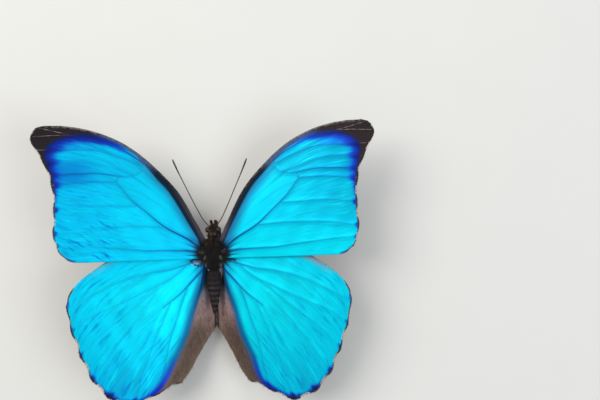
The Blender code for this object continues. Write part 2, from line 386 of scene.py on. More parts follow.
forewing = {
    "leading": [
        (1.8, 3.8), (3.3, 6.8), (6, 11.9), (12.5, 22.9), (21.6, 32.2), (29.2, 37.9), (36.2, 41.3),
        (43.3, 43.3), (50.3, 44.1), (55, 44)],
    "inner": [(1.8, -1.2), (20, -1.2), (38, -1.1), (47, -0.8), (50.4, 1.4)],
    "outer": [
        (50.4, 1.4), (52.2, 4.6), (52.8, 9.5), (52.6, 18), (53.4, 25.5), (55.7, 32), (59, 38.2),
        (59.3, 40.8), (58, 43), (55, 44)],
    "edgeSign": 1,  # its black and violet edges run tipward, the hindwing's run forward
    "lobes": 6, "scallop": 0.5, "rootHeight": 12, "arch": 0.9, "droop": 0.7,
    "steps": 130, "quadsPerLobe": 26,
    # veins: half width at the root and at the margin, how dark they are there, then the way they run
    "veins": {
        "costal": (0.17, 0.12, 0, 0, [
            (1.8, 3.7), (3.2, 6.7), (5.8, 11.8), (12.3, 22.7), (21.4, 32), (29.1, 37.7), (36.2, 41.1),
            (43.3, 43.1), (50, 43.9)]),
        "radial": (0.26, 0.12, 0.95, 0.7, [
            (2.6, 2.6), (5.4, 7), (10, 17.4), (13.3, 22.3), (17.4, 27.5), (23.7, 31.8), (29.1, 35.5),
            (36.6, 39), (42.1, 40.3), (50, 41.7), (57.4, 43.3)]),
        "radialFour": (0.135, 0.12, 0, 0, [(42.1, 40.3), (46, 40.9), (51, 41), (58.9, 40.3)]),
        "radialFive": (0.15, 0.12, 0.3, 0.25, [
            (23.6, 31.7), (26, 31.6), (28.6, 32.9), (32.7, 34.3), (38.3, 36), (43.7, 36.4),
            (58.2, 36)]),
        "cellEnd": (0.13, 0.13, 0.22, 0.3, [
            (23.9, 31.4), (25.8, 28.8), (29, 27.7), (32.3, 27.4), (33.2, 25.7)]),
        "medianOne": (0.13, 0.12, 0.2, 0.2, [
            (27, 28.3), (31.5, 29.2), (36, 31), (42, 32.4), (48, 32.5), (55.5, 31.7)]),
        "medianTwo": (0.14, 0.12, 0.45, 0.7, [
            (31, 27.5), (34.2, 28), (39.7, 28.6), (45, 28.4), (54.1, 27.8)]),
        "cubital": (0.22, 0.14, 1, 0.3, [
            (2.6, 0.9), (4.9, 2.7), (9.3, 5.9), (16.9, 10.1), (22.8, 15), (28.3, 19.7), (33.2, 25.7)]),
        "medianThree": (0.14, 0.12, 0.35, 0.3, [
            (33.2, 25.7), (39.6, 25.8), (44.6, 25.5), (53.2, 24.6)]),
        "cubitalOne": (0.14, 0.12, 0.28, 0.12, [(25.9, 17.5), (33.7, 17.6), (42, 17.8), (52.5, 16.6)]),
        "cubitalTwo": (0.14, 0.12, 0.32, 0.1, [
            (16.9, 10.1), (26, 10.6), (35, 10.6), (44, 10), (52.6, 8.6)]),
        "anal": (0.15, 0.12, 0.7, 0.05, [
            (2.6, 0.4), (9, 1.6), (16, 2), (23.6, 2.2), (28, 2.7), (35, 3.5), (44, 4.4), (51.9, 4.9)]),
    },
    # the black of the leading edge, the tip and the margin begins here, from the root outward
    "blackEdge": [
        (2.6, 2), (4.7, 6.9), (7.3, 11.3), (13.7, 21.9), (18.4, 27.4), (22.7, 31.3), (29.5, 36.9),
        (36.6, 40.2), (42, 41.5), (46.2, 41.3), (49.9, 40.3), (53.1, 38.6), (55.1, 36.3), (55.2, 33.6),
        (54.2, 30.4), (53, 27), (52.4, 23.6), (52.2, 18), (52.5, 9.5), (52, 4.6), (50.3, 1.9),
        (46.8, -0.6)],
    # where the violet band inside it begins
    "violetEdge": [
        (-2, 8), (5, 17), (12, 26), (21, 34), (28, 38.3), (31.5, 38.6), (36.7, 39.3), (43.8, 39.6),
        (48.6, 38.8), (51.4, 37.3), (53.2, 35), (53.1, 31.9), (52.5, 28.5), (52.3, 23.7), (52.7, 18),
        (53.4, 9.5), (52.7, 4), (50.9, 1.3), (46.8, -1.1)],
    # ringed eyes of the underside: place and radius
    "eyespots": [((46.3, 34.3), 1.9), ((45.3, 30.3), 2.3), ((44.6, 21.4), 3.2), ((44.6, 13.4), 3.5)],
    # pale bands of the underside
    "bands": [
        [(14, 24.5), (17, 21), (18.5, 15), (17, 8)], [(23, 32.5), (26, 27), (26.5, 21)],
        [(31, 38.5), (36, 32.5), (38, 26), (37.5, 17), (36, 8), (34, 0.5)]],
}
hindwing = {
    "leading": [
        (2, 0.4), (12, 3.2), (24, 3.4), (33, 1), (40, -2.9), (45.5, -7), (48.7, -11), (49.6, -14.6)],
    "inner": [
        (2, -4.2), (2.8, -5.7), (2.4, -7.2), (2, -9.2), (1.4, -12.4), (0.5, -16), (0.08, -19),
        (0.05, -22), (0.05, -25), (0.15, -27), (2.4, -30.2), (6.4, -36.4), (9.1, -41.2), (12, -45)],
    "outer": [
        (12, -45), (19.5, -47.5), (28.5, -50.6), (36.6, -46.9), (42, -40), (45.5, -31.6), (48.2, -23),
        (49.6, -14.6)],
    "edgeSign": -1,
    "lobes": 7, "scallop": 0.9, "rootHeight": 10.8, "arch": 0.6, "droop": 0.5,
    "steps": 136, "quadsPerLobe": 22,
    "veins": {
        "costal": (0.22, 0.12, 0, 0, [(2.6, 0.2), (6, 1.4), (12, 2.9), (24, 3.1), (33, 0.8)]),
        "subcostal": (0.2, 0.12, 0.55, 0, [
            (2.6, -1.6), (6.8, -2.6), (12.2, -3.9), (16.4, -4.9), (23.5, -5.6), (33, -8), (42, -12),
            (49.5, -14.8)]),
        "radialSector": (0.15, 0.12, 0.3, 0.03, [
            (9.5, -3.3), (15, -7.6), (24, -11.6), (34, -15.9), (41.5, -18.8), (48.1, -23)]),
        "medianOne": (0.14, 0.12, 0.12, 0.05, [
            (18.6, -9.3), (26, -15.4), (34, -21.4), (39.8, -26), (45.5, -31.8)]),
        "medianTwo": (0.14, 0.12, 0.08, 0.05, [
            (20.5, -13), (27, -21), (33, -28.6), (37.6, -34.2), (41.9, -40)]),
        "medianThree": (0.14, 0.12, 0.08, 0.05, [
            (18.6, -18), (22.5, -25), (27, -33), (31.4, -40), (36.5, -46.8)]),
        "cubital": (0.21, 0.12, 0.95, 0.35, [
            (2.8, -3.6), (3.8, -5), (9.2, -10.5), (12.7, -13.8), (16.9, -16.8), (18.6, -18)]),
        "cubitalOne": (0.14, 0.12, 0.2, 0.08, [
            (15.4, -15.8), (18.6, -23), (22.4, -32), (25.7, -41), (28.5, -50.4)]),
        "cubitalTwo": (0.14, 0.12, 0.42, 0.08, [
            (9.5, -10.8), (11.6, -16.2), (13.6, -22.3), (16, -29), (17.7, -37), (19.8, -47.4)]),
        "analTwo": (0.14, 0.12, 0.4, 0.1, [
            (2.9, -4.6), (5.2, -11), (7.2, -19), (9.2, -28), (10.9, -37), (12.2, -44.8)]),
        "analThree": (0.13, 0.12, 0.3, 0.2, [(3.2, -5), (4.4, -10), (4.1, -15), (3.3, -21), (4, -28)]),
    },
    "blackEdge": [
        (12.2, -44.6), (19.5, -47.1), (28.4, -50.1), (36.3, -46.7), (41.7, -39.9), (45.1, -31.6),
        (47.8, -23.1), (49.2, -14.8), (48.1, -11)],
    # black marks that lead out from the root
    "rootMarks": {-1: [[(3, -0.6), (5.6, -0.9), (8.7, -2.2)], [(8, -2.6), (6.8, -3.5), (4.6, -4.2)]],
                  1: [[(3.4, -0.9), (5.6, -1.5), (8.2, -1.9)], [(4, -1.9), (5.4, -2.3), (6.6, -2.4)]]},
    "violetEdge": [
        (12.5, -42.9), (21, -45.9), (28.2, -48.9), (35.6, -45.7), (40.9, -39.2), (44.4, -31.2),
        (47.2, -22.9), (48.6, -14.9)],
    # the blue ends here and the brown inner flap begins
    "flapEdge": [
        (2.4, -1.5), (3.6, -5.6), (4.9, -10.5), (7.6, -17.7), (10, -25.8), (12.4, -32.6), (15.1, -38.6),
        (18.2, -44.2), (22, -48.7)],
    "eyespots": [((33, -9.6), 4.2), ((34.6, -30.6), 2.9), ((29.4, -36.8), 3.1), ((23.6, -40.6), 2.8)],
    "bands": [
        [(9, 2), (12, -6), (9, -14), (4, -20)],
        [(21, 2.6), (22.5, -5), (19.5, -13), (13, -22), (5, -28)]],
}
wingShapes = {"forewing": forewing, "hindwing": hindwing}
wingSheet = {
    "hingeOut": 3.5, "hingeForward": 2,
    "halfThickness": 0.1, "pleat": 0.11, "pleatWidth": 0.9, "ripple": 0.1,
    # how far each wing is raised above level and swept forward, in degrees
    "pose": {("forewing", -1): (22, 0.7), ("forewing", 1): (15.5, 2),
             ("hindwing", -1): (21.5, 0), ("hindwing", 1): (13, 0)},
    # how steeply the strip behind the leading edge slopes down, in degrees
    "frontSlope": {-1: 50, 1: 14},
    # along the body: where the flap's fold starts, where its edge is, how much of the depth it reaches
    "foldStart": [
        (0, 3.4), (-7, 4.3), (-10, 4.9), (-13.5, 5.8), (-19, 7.7), (-24, 8.9), (-30, 10.9), (-36, 12.8),
        (-45.5, 16.8), (-52, 19)],
    "foldEdge": [
        (-6, 1.7), (-12, 1.2), (-16, 0.25), (-27, 0.25), (-30.2, 2.4), (-36.4, 6.4), (-41.2, 9.1),
        (-45, 12)],
    "foldDepth": [(-3, 0), (-6, 1), (-25, 1), (-32, 0.7), (-40, 0.3), (-46, 0.1)],
    "foldHeight": 4.6,
}


def flatGrid(wing):  # (out, forward) of every grid point, from the root row to the margin row
    rows, columns = wing["steps"] + 1, wing["lobes"] * wing["quadsPerLobe"] + 1
    leading = smoothCurve(wing["leading"], rows)
    inner = smoothCurve(wing["inner"], rows)
    outer = smoothCurve(wing["outer"], columns)
    u = np.linspace(0, 1, rows)[:, None, None]
    v = np.linspace(0, 1, columns)[None, :, None]
    root = (1 - v) * inner[0] + v * leading[0]
    flat = (1 - v) * inner[:, None] + v * leading[:, None] + (1 - u) * root + u * outer[None]
    flat = flat - (1 - u) * root - u * ((1 - v) * inner[-1] + v * leading[-1])
    dip = wing["scallop"] * np.sin(math.pi * v * wing["lobes"]) ** 2 * (1 - v ** 8) * u ** 4
    return flat - unit(flat - flat[0, columns // 2]) * dip, u[..., 0], v[..., 0]


def holdWing(kind, wing, side, flat, u, v):  # bends and raises flat points as the wing is held
    lift, sweep = (math.radians(angle) for angle in wingSheet["pose"][(kind, side)])
    dip = 0
    if kind == "forewing":  # the strip behind the leading edge slopes down, with a soft bend
        spots = flat.reshape(-1, 2)
        rootGap = fromRoot(spots)
        strip = np.clip(pastEdge(spots, wing["blackEdge"], 60), 0, None)
        ends = smoothStep((46 - rootGap) / 14), smoothStep((rootGap - 2) / 4)
        strip = (strip ** 2 / (strip + 0.4) * ends[0] * ends[1]).reshape(flat.shape[:2])
        slope = math.radians(wingSheet["frontSlope"][side])
        dip = strip * math.sin(slope)
        flat = flat + (strip * (1.0 - math.cos(slope)))[..., None] * np.array((0.82, -0.57))
    out = flat[..., 0] - wingSheet["hingeOut"]
    forward = flat[..., 1] - wingSheet["hingeForward"]
    y = wingSheet["hingeForward"] + math.sin(sweep) * out + math.cos(sweep) * forward
    out = math.cos(sweep) * out - math.sin(sweep) * forward
    bulge = wing["arch"] * np.sin(math.pi * v) * np.sin(math.pi * u) - wing["droop"] * u ** 4
    x = wingSheet["hingeOut"] + out * math.cos(lift) - bulge * math.sin(lift)
    z = wing["rootHeight"] + out * math.sin(lift) + bulge * math.cos(lift) - dip
    if kind == "hindwing":
        start, edge = fromTable(wingSheet["foldStart"], y), fromTable(wingSheet["foldEdge"], y)
        depth = fromTable(wingSheet["foldDepth"], y) * smoothStep((start - x) / (start - edge))
        z = z + (wingSheet["foldHeight"] - z) * depth
    return np.stack([side * x, y, z], axis=-1)


def surfaceNormals(sheet):  # unit normals of a grid of points, by differences
    return unit(np.cross(np.gradient(sheet, axis=0), np.gradient(sheet, axis=1)))


def flapDepths(spots, wing, side):  # how far inside the inner flap each point lies
    # the border lies nearer to the body beside the abdomen than further back
    shift = np.interp(spots[:, 1], (-43, -36, -28), (0.3 if side < 0 else 1.5, 0.3, 0.9))
    return -pastEdge(spots, wing["flapEdge"], 60) - shift


def wingFields(kind, wing, side, flat):  # what the finish of a wing reads, one value a grid point
    spots = flat.reshape(-1, 2)
    fields = {}
    veinGap, veinTone = np.full(len(spots), 9.0), np.zeros(len(spots))
    for *_, rootTone, endTone, way in wing["veins"].values():
        curve = smoothCurve(way, 40)
        gap = pathGap(spots, curve)[0]
        share = np.linalg.norm(spots - curve[0], axis=1) / np.linalg.norm(curve[-1] - curve[0])
        tone = rootTone + (endTone - rootTone) * np.clip(share, 0, 1)
        veinTone = np.where(gap < veinGap, tone, veinTone)
        veinGap = np.minimum(veinGap, gap)
    fields["veinGap"], fields["veinTone"] = veinGap, veinTone
    fields["marginGap"] = pathGap(spots, smoothCurve(wing["outer"], 80))[0]
    fields["leadingGap"] = pathGap(spots, smoothCurve(wing["leading"], 80))[0]
    fields["rootGap"] = fromRoot(spots)
    for edge in ("black", "violet"):
        fields[edge + "Depth"] = pastEdge(spots, wing[edge + "Edge"], 90) * wing["edgeSign"]
    if kind == "hindwing":
        fields["flapDepth"] = flapDepths(spots, wing, side)
        ways = wing["rootMarks"][side]
        fields["markGap"] = np.min([pathGap(spots, smoothCurve(way, 12))[0] for way in ways], axis=0)
    ring = np.full(len(spots), 9.0)
    for (out, forward), radius in wing["eyespots"]:
        ring = np.minimum(ring, np.hypot(spots[:, 0] - out, spots[:, 1] - forward) / radius)
    fields["eyeRing"] = ring
    bandGap = np.full(len(spots), 30.0)
    for way in wing["bands"]:
        bandGap = np.minimum(bandGap, pathGap(spots, smoothCurve(way, 30))[0])
    fields["bandGap"] = bandGap
    return fields


# gives the place, and the way it faces, of any point of the flat wing
def wingFinder(flat, sheet, normals):
    rows, columns = flat.shape[:2]
    quads = gridFaces(rows, columns)
    triangles = np.vstack([quads[:, :3], quads[:, [0, 2, 3]]])
    flatPoints = [Vector((out, forward, 0.0)) for out, forward in flat.reshape(-1, 2).tolist()]
    heldPoints = [Vector(point) for point in sheet.reshape(-1, 3).tolist()]
    tree = BVHTree.FromPolygons(flatPoints, triangles.tolist())

    def place(out, forward):
        near, _, index, _ = tree.find_nearest(Vector((out, forward, 0.0)))
        a, b, c = triangles[index]
        held = barycentric_transform(near, flatPoints[a], flatPoints[b], flatPoints[c], heldPoints[a],
                                     heldPoints[b], heldPoints[c])
        return np.concatenate([held, normals.reshape(-1, 3)[a]])
    return place


def makeWing(kind, word, side, materials):
    wing = wingShapes[kind]
    flat, u, v = flatGrid(wing)
    rows, columns = flat.shape[:2]
    middle = holdWing(kind, wing, side, flat, u, v)
    normals = surfaceNormals(middle) * side
    fields = wingFields(kind, wing, side, flat)

    # the sheet stands up a little along its veins and is never quite flat between them
    wave = np.sin(0.34 * flat[..., 0] + 1.3 * side) * np.sin(0.29 * flat[..., 1] + 0.8) \
        + 0.5 * np.sin(0.8 * flat[..., 0] - 0.45 * flat[..., 1] + side)
    ridge = np.exp(-(fields["veinGap"].reshape(rows, columns) / wingSheet["pleatWidth"]) ** 2)
    fade = smoothStep(fields["rootGap"].reshape(rows, columns) / 8)
    rise = (wingSheet["pleat"] * (ridge - 0.4) + wingSheet["ripple"] * 0.6 * wave) * fade
    middle = middle + normals * rise[..., None]
    half = wingSheet["halfThickness"]
    upper, under = middle + normals * half, middle - normals * half

    # the rim runs once round the sheet, a little outside it, and closes the two sides
    i = [0] * columns + [*range(1, rows)] + [rows - 1] * (columns - 1) + [*range(rows - 2, 0, -1)]
    j = [*range(columns)] + [columns - 1] * (rows - 1) + [*range(columns - 2, -1, -1)] + [0] * (rows - 2)
    i, j = np.array(i), np.array(j)
    insideI, insideJ = np.clip(i, 1, rows - 2), np.clip(j, 1, columns - 2)
    rim = middle[i, j] + unit(middle[i, j] - middle[insideI, insideJ]) * half
    flatOut = unit(flat[i, j] - flat[insideI, insideJ])

    count, around = rows * columns, len(i)
    points = np.vstack([upper.reshape(-1, 3), under.reshape(-1, 3), rim])
    top = gridFaces(rows, columns, 0, flip=side < 0)
    bottom = gridFaces(rows, columns, count, flip=side > 0)
    edge = i * columns + j
    nextEdge, rimIndex = np.roll(edge, -1), 2 * count + np.arange(around)
    nextRim = np.roll(rimIndex, -1)
    rimTop = np.column_stack([edge, nextEdge, nextRim, rimIndex])
    rimBottom = np.column_stack([rimIndex, nextRim, nextEdge + count, edge + count])
    if side < 0:
        rimTop, rimBottom = rimTop[:, ::-1], rimBottom[:, ::-1]
    faces = np.vstack([top, rimTop, bottom, rimBottom])
    isUnder = np.concatenate([np.zeros(len(top) + around), np.ones(len(bottom) + around)])

    # flat coordinates in centimetres for the finish, and both sides laid out for the bake
    plan = np.vstack([flat.reshape(-1, 2)] * 2 + [flat[i, j] + flatOut * 0.2])
    acrossRays, alongRays = np.broadcast_arrays(v, u)
    ray = np.stack([acrossRays * 4.8, alongRays * 5.2], axis=-1)
    ray = np.vstack([ray.reshape(-1, 2)] * 2 + [ray[i, j]])
    low = plan.min(axis=0)
    scale = 0.48 / max(plan[:, 1].max() - low[1], (plan[:, 0].max() - low[0]) / 2)
    corners = faces.ravel()
    sheetMap = 0.01 + (plan[corners] - low) * scale
    sheetMap[:, 1] += 0.5 * np.repeat(isUnder, 4)
    fields = {name: np.concatenate([values, values, values[edge]]) for name, values in fields.items()}
    maps = {"OFBake": sheetMap, "wingPlan": plan / 10, "wingRay": ray}
    piece = meshObject(kind + "_" + word + "_sheet", points, faces, materials, fields, maps, isUnder)
    print("wing:", piece.name, len(faces), "faces")
    return piece, wingFinder(flat, middle, normals), flat, middle, normals


# geometry trees: each has named inputs and is made a plain mesh once it has grown

def newTree(name, inputs):
    tree = bench["tree"] = bpy.data.node_groups.new(name, "GeometryNodeTree")
    tree.interface.new_socket("Geometry", in_out="INPUT", socket_type="NodeSocketGeometry")
    for label, kind in inputs.items():
        tree.interface.new_socket(label, in_out="INPUT", socket_type="NodeSocket" + kind)
    tree.interface.new_socket("Geometry", in_out="OUTPUT", socket_type="NodeSocketGeometry")
    start = tree.nodes.new("NodeGroupInput")
    end = tree.nodes.new("NodeGroupOutput")
    return tree, start.outputs, end.inputs[0]


def finishTree(geometry, material, output):  # every tree ends like this
    whole = addNode("GeometryNodeRealizeInstances", {"Geometry": geometry}).outputs[0]
    smooth = addNode("GeometryNodeSetShadeSmooth", {"Geometry": whole}).outputs[0]
    painted = addNode("GeometryNodeSetMaterial", {"Geometry": smooth, "Material": material})
    join(painted.outputs[0], output)


def grow(name, source, tree, values, keepSource=False):
    modifier = source.modifiers.new(tree.name, "NODES")
    modifier.node_group = tree
    for item in tree.interface.items_tree:
        if item.in_out == "INPUT" and item.name in values:
            value = values[item.name]
            isFloat = item.socket_type == "NodeSocketFloat"
            modifier[item.identifier] = float(value) if isFloat else value
    bpy.context.view_layer.update()
    grown = source.evaluated_get(bpy.context.evaluated_depsgraph_get())
    mesh = bpy.data.meshes.new_from_object(grown)
    source.modifiers.remove(modifier)
    if not keepSource:
        bpy.data.objects.remove(source, do_unlink=True)
    mesh.name = name
    return addObject(name, mesh)


def fieldOf(name, kind="FLOAT"):
    return addNode("GeometryNodeInputNamedAttribute", {"Name": name}, data_type=kind).outputs[0]


def storeField(geometry, name, value, kind="FLOAT", domain="POINT"):
    inputs = {"Geometry": geometry, "Name": name, "Value": value}
    settings = {"data_type": kind, "domain": domain}
    return addNode("GeometryNodeStoreNamedAttribute", inputs, **settings).outputs[0]


def randomValue(low, high, seed, shift):
    seedUsed = plus(seed, shift)
    inputs = {2: low, 3: high, "Seed": seedUsed}
    return addNode("FunctionNodeRandomValue", inputs, data_type="FLOAT").outputs[1]


def pathPoints(given):  # even points along a path of loose edges
    curve = addNode("GeometryNodeMeshToCurve", {"Mesh": given["Geometry"]}).outputs[0]
    inputs = {"Curve": curve, "Length": given["Spacing"]}
    return addNode("GeometryNodeCurveToPoints", inputs, mode="LENGTH").outputs


def turned(up, along, wobble):  # Z up and X along, then a little turned
    turn = addNode("FunctionNodeAxesToRotation", {0: up, 1: fieldOf(along, "FLOAT_VECTOR")},
                   primary_axis="Z", secondary_axis="X").outputs[0]
    inputs = {0: turn, 1: addNode("FunctionNodeEulerToRotation", {0: wobble}).outputs[0]}
    return addNode("FunctionNodeRotateRotation", inputs, rotation_space="LOCAL").outputs[0]


def copiesOn(points, thing, turn, size):
    shape = addNode("GeometryNodeObjectInfo", {"Object": thing, "As Instance": True})
    inputs = {"Points": points, "Instance": shape.outputs["Geometry"], "Rotation": turn, "Scale": size}
    return addNode("GeometryNodeInstanceOnPoints", inputs).outputs[0]


def veinTree():  # polylines with a half width become round tubes
    tree, given, output = newTree("veinTree", {"Sides": "Int", "Material": "Material"})
    curve = addNode("GeometryNodeMeshToCurve", {"Mesh": given["Geometry"]}).outputs[0]
    inputs = {"Resolution": given["Sides"], "Radius": mm}
    ring = addNode("GeometryNodeCurvePrimitiveCircle", inputs)
    inputs = {"Curve": curve, "Profile Curve": ring.outputs[0], "Scale": fieldOf("halfWidth"),
              "Fill Caps": True}
    tube = addNode("GeometryNodeCurveToMesh", inputs).outputs[0]
    normal = addNode("GeometryNodeInputNormal").outputs[0]
    inputs = {0: normal, 1: fieldOf("upward", "FLOAT_VECTOR")}
    up = addNode("ShaderNodeVectorMath", inputs, operation="DOT_PRODUCT").outputs[1]
    tube = storeField(tube, "facesUp", up)
    finishTree(tube, given["Material"], output)
    return tree


def polyline(name, paths, fields):  # loose edges along paths, one value a point for each field
    edges, start = [], 0
    for path in paths:
        edges += [(start + k, start + k + 1) for k in range(len(path) - 1)]
        start += len(path)
    return addObject(name, plainMesh(name, np.vstack(paths) * mm + origin, edges, [], fields))


def makeVeins(kind, word, side, place, tree, material):
    wing, paths = wingShapes[kind], []
    fields = {field: [] for field in (
        "halfWidth", "veinTone", "rootGap", "horn", "violetDepth", "flapDepth", "forward", "upward")}
    for name, (rootWidth, endWidth, rootTone, endTone, way) in wing["veins"].items():
        count = max(8, round(np.linalg.norm(np.diff(way, axis=0), axis=1).sum() / 0.9))
        flatWay = smoothCurve(way, count)
        held = np.array([place(out, forward) for out, forward in flatWay])
        paths.append(held[:, :3])
        fields["upward"].append(held[:, 3:])
        share, rootGap = np.linspace(0, 1, count), fromRoot(flatWay)
        # veins thin out with distance from the root
        thin = np.clip(share * 0.6 + rootGap / 110, 0, 1)
        fields["halfWidth"].append(rootWidth + (endWidth - rootWidth) * thin)
        fields["veinTone"].append(rootTone + (endTone - rootTone) * share)
        fields["rootGap"].append(rootGap)
        # a vein is as blue as the wing round it, but horn-coloured along the leading edge and on black
        forward, isFore = flatWay[:, 1], kind == "forewing"
        horn = np.clip(pastEdge(flatWay, wing["blackEdge"], 90) / 0.6, 0, 1) * isFore
        if name == "radial":
            horn = horn * np.clip((rootGap - 53) / 2, 0, 1)
            horn = horn + np.clip((42 - rootGap) / 6, 0, 1)
        fields["horn"].append(np.ones(count) if name == "costal" else horn)
        depth = pastEdge(flatWay, wing["violetEdge"], 90) * wing["edgeSign"] + 1.1
        if isFore:
            depth = depth * np.interp(forward, (17, 26), (2.4, 1))
        else:
            depth = (depth - np.interp(forward, (-46, -36), (1, 1.9))) * 2
        fields["violetDepth"].append(depth)
        fields["flapDepth"].append(np.full(count, -9.0) if isFore else flapDepths(flatWay, wing, side))
        fields["forward"].append(forward)
    fields = {name: np.concatenate(values) for name, values in fields.items()}
    source = polyline("veinPaths", paths, fields)
    return grow(kind + "_" + word + "_veins", source, tree, {"Sides": 8, "Material": material})


fringeLook = {
    "forewing": {"length": 0.62, "paleFrom": 0.6}, "hindwing": {"length": 0.85, "paleFrom": 0.5},
    "spacing": 0.085, "wide": 0.2, "thick": 0.035, "seat": 0.12,
}


def fringeScale(name):  # a flat pointed scale along +X, unit long, closed
    half = [(0.25, 0.42), (0.62, 0.5), (0.94, 0.26)]
    outline = [(0, 0), *half, (1, 0), *((x, -y) for x, y in reversed(half))]
    points = [(x, y, 0) for x, y in outline] + [(0.5, 0, 0.5), (0.5, 0, -0.5)]
    count = len(outline)
    faces = [((k + 1) % count, k, count) for k in range(count)]
    faces += [(k, (k + 1) % count, count + 1) for k in range(count)]
    return addObject(name, plainMesh(name, points, [], faces))


def fringeTree():  # scales side by side along a margin, pointing away from the wing
    tree, given, output = newTree("fringeTree", {
        "Scale": "Object", "Spacing": "Float", "Length": "Float", "Width": "Float", "Thickness": "Float",
        "Seed": "Int", "Material": "Material"})
    seed = given["Seed"]
    shade = randomValue(0, 1, seed, 1)
    spots = storeField(pathPoints(given)[0], "scaleShade", shade)
    wobble = vectorOf(*(randomValue(low, high, seed, shift) for low, high, shift in (
        (-0.5, 0.5, 2), (-0.12, 0.16, 3), (-0.28, 0.28, 4))))
    turn = turned(fieldOf("upward", "FLOAT_VECTOR"), "outward", wobble)
    length = times(given["Length"], randomValue(0.72, 1.12, seed, 5))
    size = vectorOf(length, given["Width"], given["Thickness"])
    finishTree(copiesOn(spots, given["Scale"], turn, size), given["Material"], output)
    return tree


def makeFringe(kind, word, middle, normals, tree, scale, material, seed):
    look, wing = fringeLook[kind], wingShapes[kind]
    edge = middle[-1]
    outward = unit(edge - middle[-3])
    v = np.linspace(0, 1, len(edge))
    between = np.sin(math.pi * v * wing["lobes"]) ** 2  # the fringe is pale between the veins
    pale = smoothStep((between - look["paleFrom"]) / 0.25) * smoothStep((0.93 - v) / 0.05)
    fields = {"outward": outward, "upward": normals[-1], "pale": pale}
    source = polyline("fringePath", [edge - outward * fringeLook["seat"]], fields)
    return grow(kind + "_" + word + "_fringe", source, tree, {
        "Scale": scale, "Spacing": fringeLook["spacing"] * mm, "Length": look["length"] * mm,
        "Width": fringeLook["wide"] * mm, "Thickness": fringeLook["thick"] * mm, "Seed": seed,
        "Material": material})


# finish of the wings

upperLook = {
    # blues from the wing's root outward and toward its front and rear, the dark of its tip, then how
    # strongly each kind of mark shows. The left and right palettes differ by painted light: each wing's
    # blue as its own tilt meets the light, darker azure on the left, more cyan on the right; grey is the
    # painted shadow of the forewing's rear edge on the hindwing's front
    ("forewing", -1): {
        "near": tint(0, 172, 208), "middle": tint(0, 214, 240), "far": tint(0, 196, 246),
        "front": tint(0, 200, 234), "rear": tint(0, 208, 242), "tip": tint(46, 42, 46),
        "strokes": 0.55, "wrinkles": 1, "steel": 0.85, "faint": 0.16, "strip": 1.5, "tiltShade": 0.75,
        "tipShift": 0, "frontBand": 0, "palerTo": 26},
    ("forewing", 1): {
        "near": tint(0, 198, 222), "middle": tint(0, 208, 234), "far": tint(0, 182, 212),
        "front": tint(0, 158, 184), "rear": tint(0, 236, 252), "tip": tint(60, 51, 54),
        "strokes": 0.22, "wrinkles": 0.12, "steel": 0.95, "faint": 0.03, "strip": 0.8, "tiltShade": 0.14,
        "tipShift": 0.6, "frontBand": 1.6, "palerTo": 15},
    ("hindwing", -1): {
        "near": tint(0, 232, 248), "middle": tint(0, 238, 252), "far": tint(0, 206, 240),
        "front": tint(0, 208, 240), "rear": tint(0, 190, 232), "tip": tint(46, 42, 46),
        "strokes": 0.75, "grey": 0.3, "faint": 0.04},
    ("hindwing", 1): {
        "near": tint(0, 218, 236), "middle": tint(0, 228, 240), "far": tint(0, 210, 236),
        "front": tint(0, 206, 230), "rear": tint(0, 200, 232), "tip": tint(46, 42, 46),
        "strokes": 0.55, "grey": 0.85, "faint": 0.04},
}
wingPaint = {
    "streak": tint(0, 120, 205), "light": tint(0, 240, 252),
    "navyAndShade": tint(14, 50, 110), "rootHairAndShade": tint(10, 9, 14), "rootMark": tint(8, 24, 52),
    "steel": tint(24, 112, 158), "shadowGreyBlue": tint(128, 142, 160), "tiltShade": tint(4, 112, 202),
    "azure": tint(6, 124, 220), "royal": tint(14, 84, 196), "violet": tint(18, 50, 166),
    "navy": tint(20, 34, 106), "black": tint(16, 11, 16), "costaBlue": tint(70, 98, 140),
    "paleEdge": tint(112, 100, 98), "fringeWhite": tint(150, 142, 138), "lilac": tint(150, 142, 172),
    "vein": tint(0, 74, 138), "veinDark": tint(4, 22, 58), "horn": tint(178, 158, 146),
    "hornDark": tint(84, 60, 52), "costaHorn": tint(38, 35, 40), "strip": tint(8, 30, 46),
    "stripPale": tint(72, 70, 80),
    "foldShadowTeal": tint(10, 88, 142), "borderBlue": tint(20, 44, 184), "flapEdge": tint(34, 20, 14),
    "veinUnder": tint(70, 48, 34), "veinUnderPale": tint(120, 92, 66),
    "underGround": tint(92, 66, 47), "underDark": tint(58, 40, 30), "underPale": tint(158, 134, 106),
    "underLine": tint(196, 178, 150),
}


def blueGround(look, rootGap, cloud):  # the wing's blue by distance from its root
    reach = plus(times(rootGap, 1 / 58), times(minus(cloud, 0.5), 0.45), clamp=True)
    return colourRamp(reach, [(0.08, look["near"]), (0.42, look["middle"]), (0.95, look["far"])])


def flapColours(out, forward, shade, isRight):  # of the inner flap: black, mauve, then brown
    # the black by the body is partly dark hair, partly painted shade
    ramp = colourRamp(remap(forward, -46, 0), [
        (0, tint(128, 107, 92)), (0.3, tint(133, 111, 96)), (0.41, tint(150, 124, 112)),
        (0.54, tint(210, 176, 173)), (0.63, tint(208, 184, 188)), (0.69, tint(186, 183, 188)),
        (0.75, tint(134, 126, 130)), (0.8, tint(58, 52, 56)), (0.84, tint(14, 12, 16))])
    # painted shade: the right flap darker toward its outer side and rear
    darker = times(isRight, remap(forward, -20, -26), remap(out, 1.5, 4))
    ramp = mixColour(darker, ramp, filtered(ramp, 224, 221, 219))
    return mixColour(shade, filtered(ramp, 196, 190, 186), ramp)


def scaleRows(shader, ray, strength):  # rows of scales across the wing's rays
    rows = cells(stretched(ray, 23.1, 42), 1, 0.55)
    fine = noise(stretched(ray, 14, 3), 1, 4)
    bumpOn(shader, strength, 0.00012, plus(times(rows, -0.6), fine))
    return rows, fine


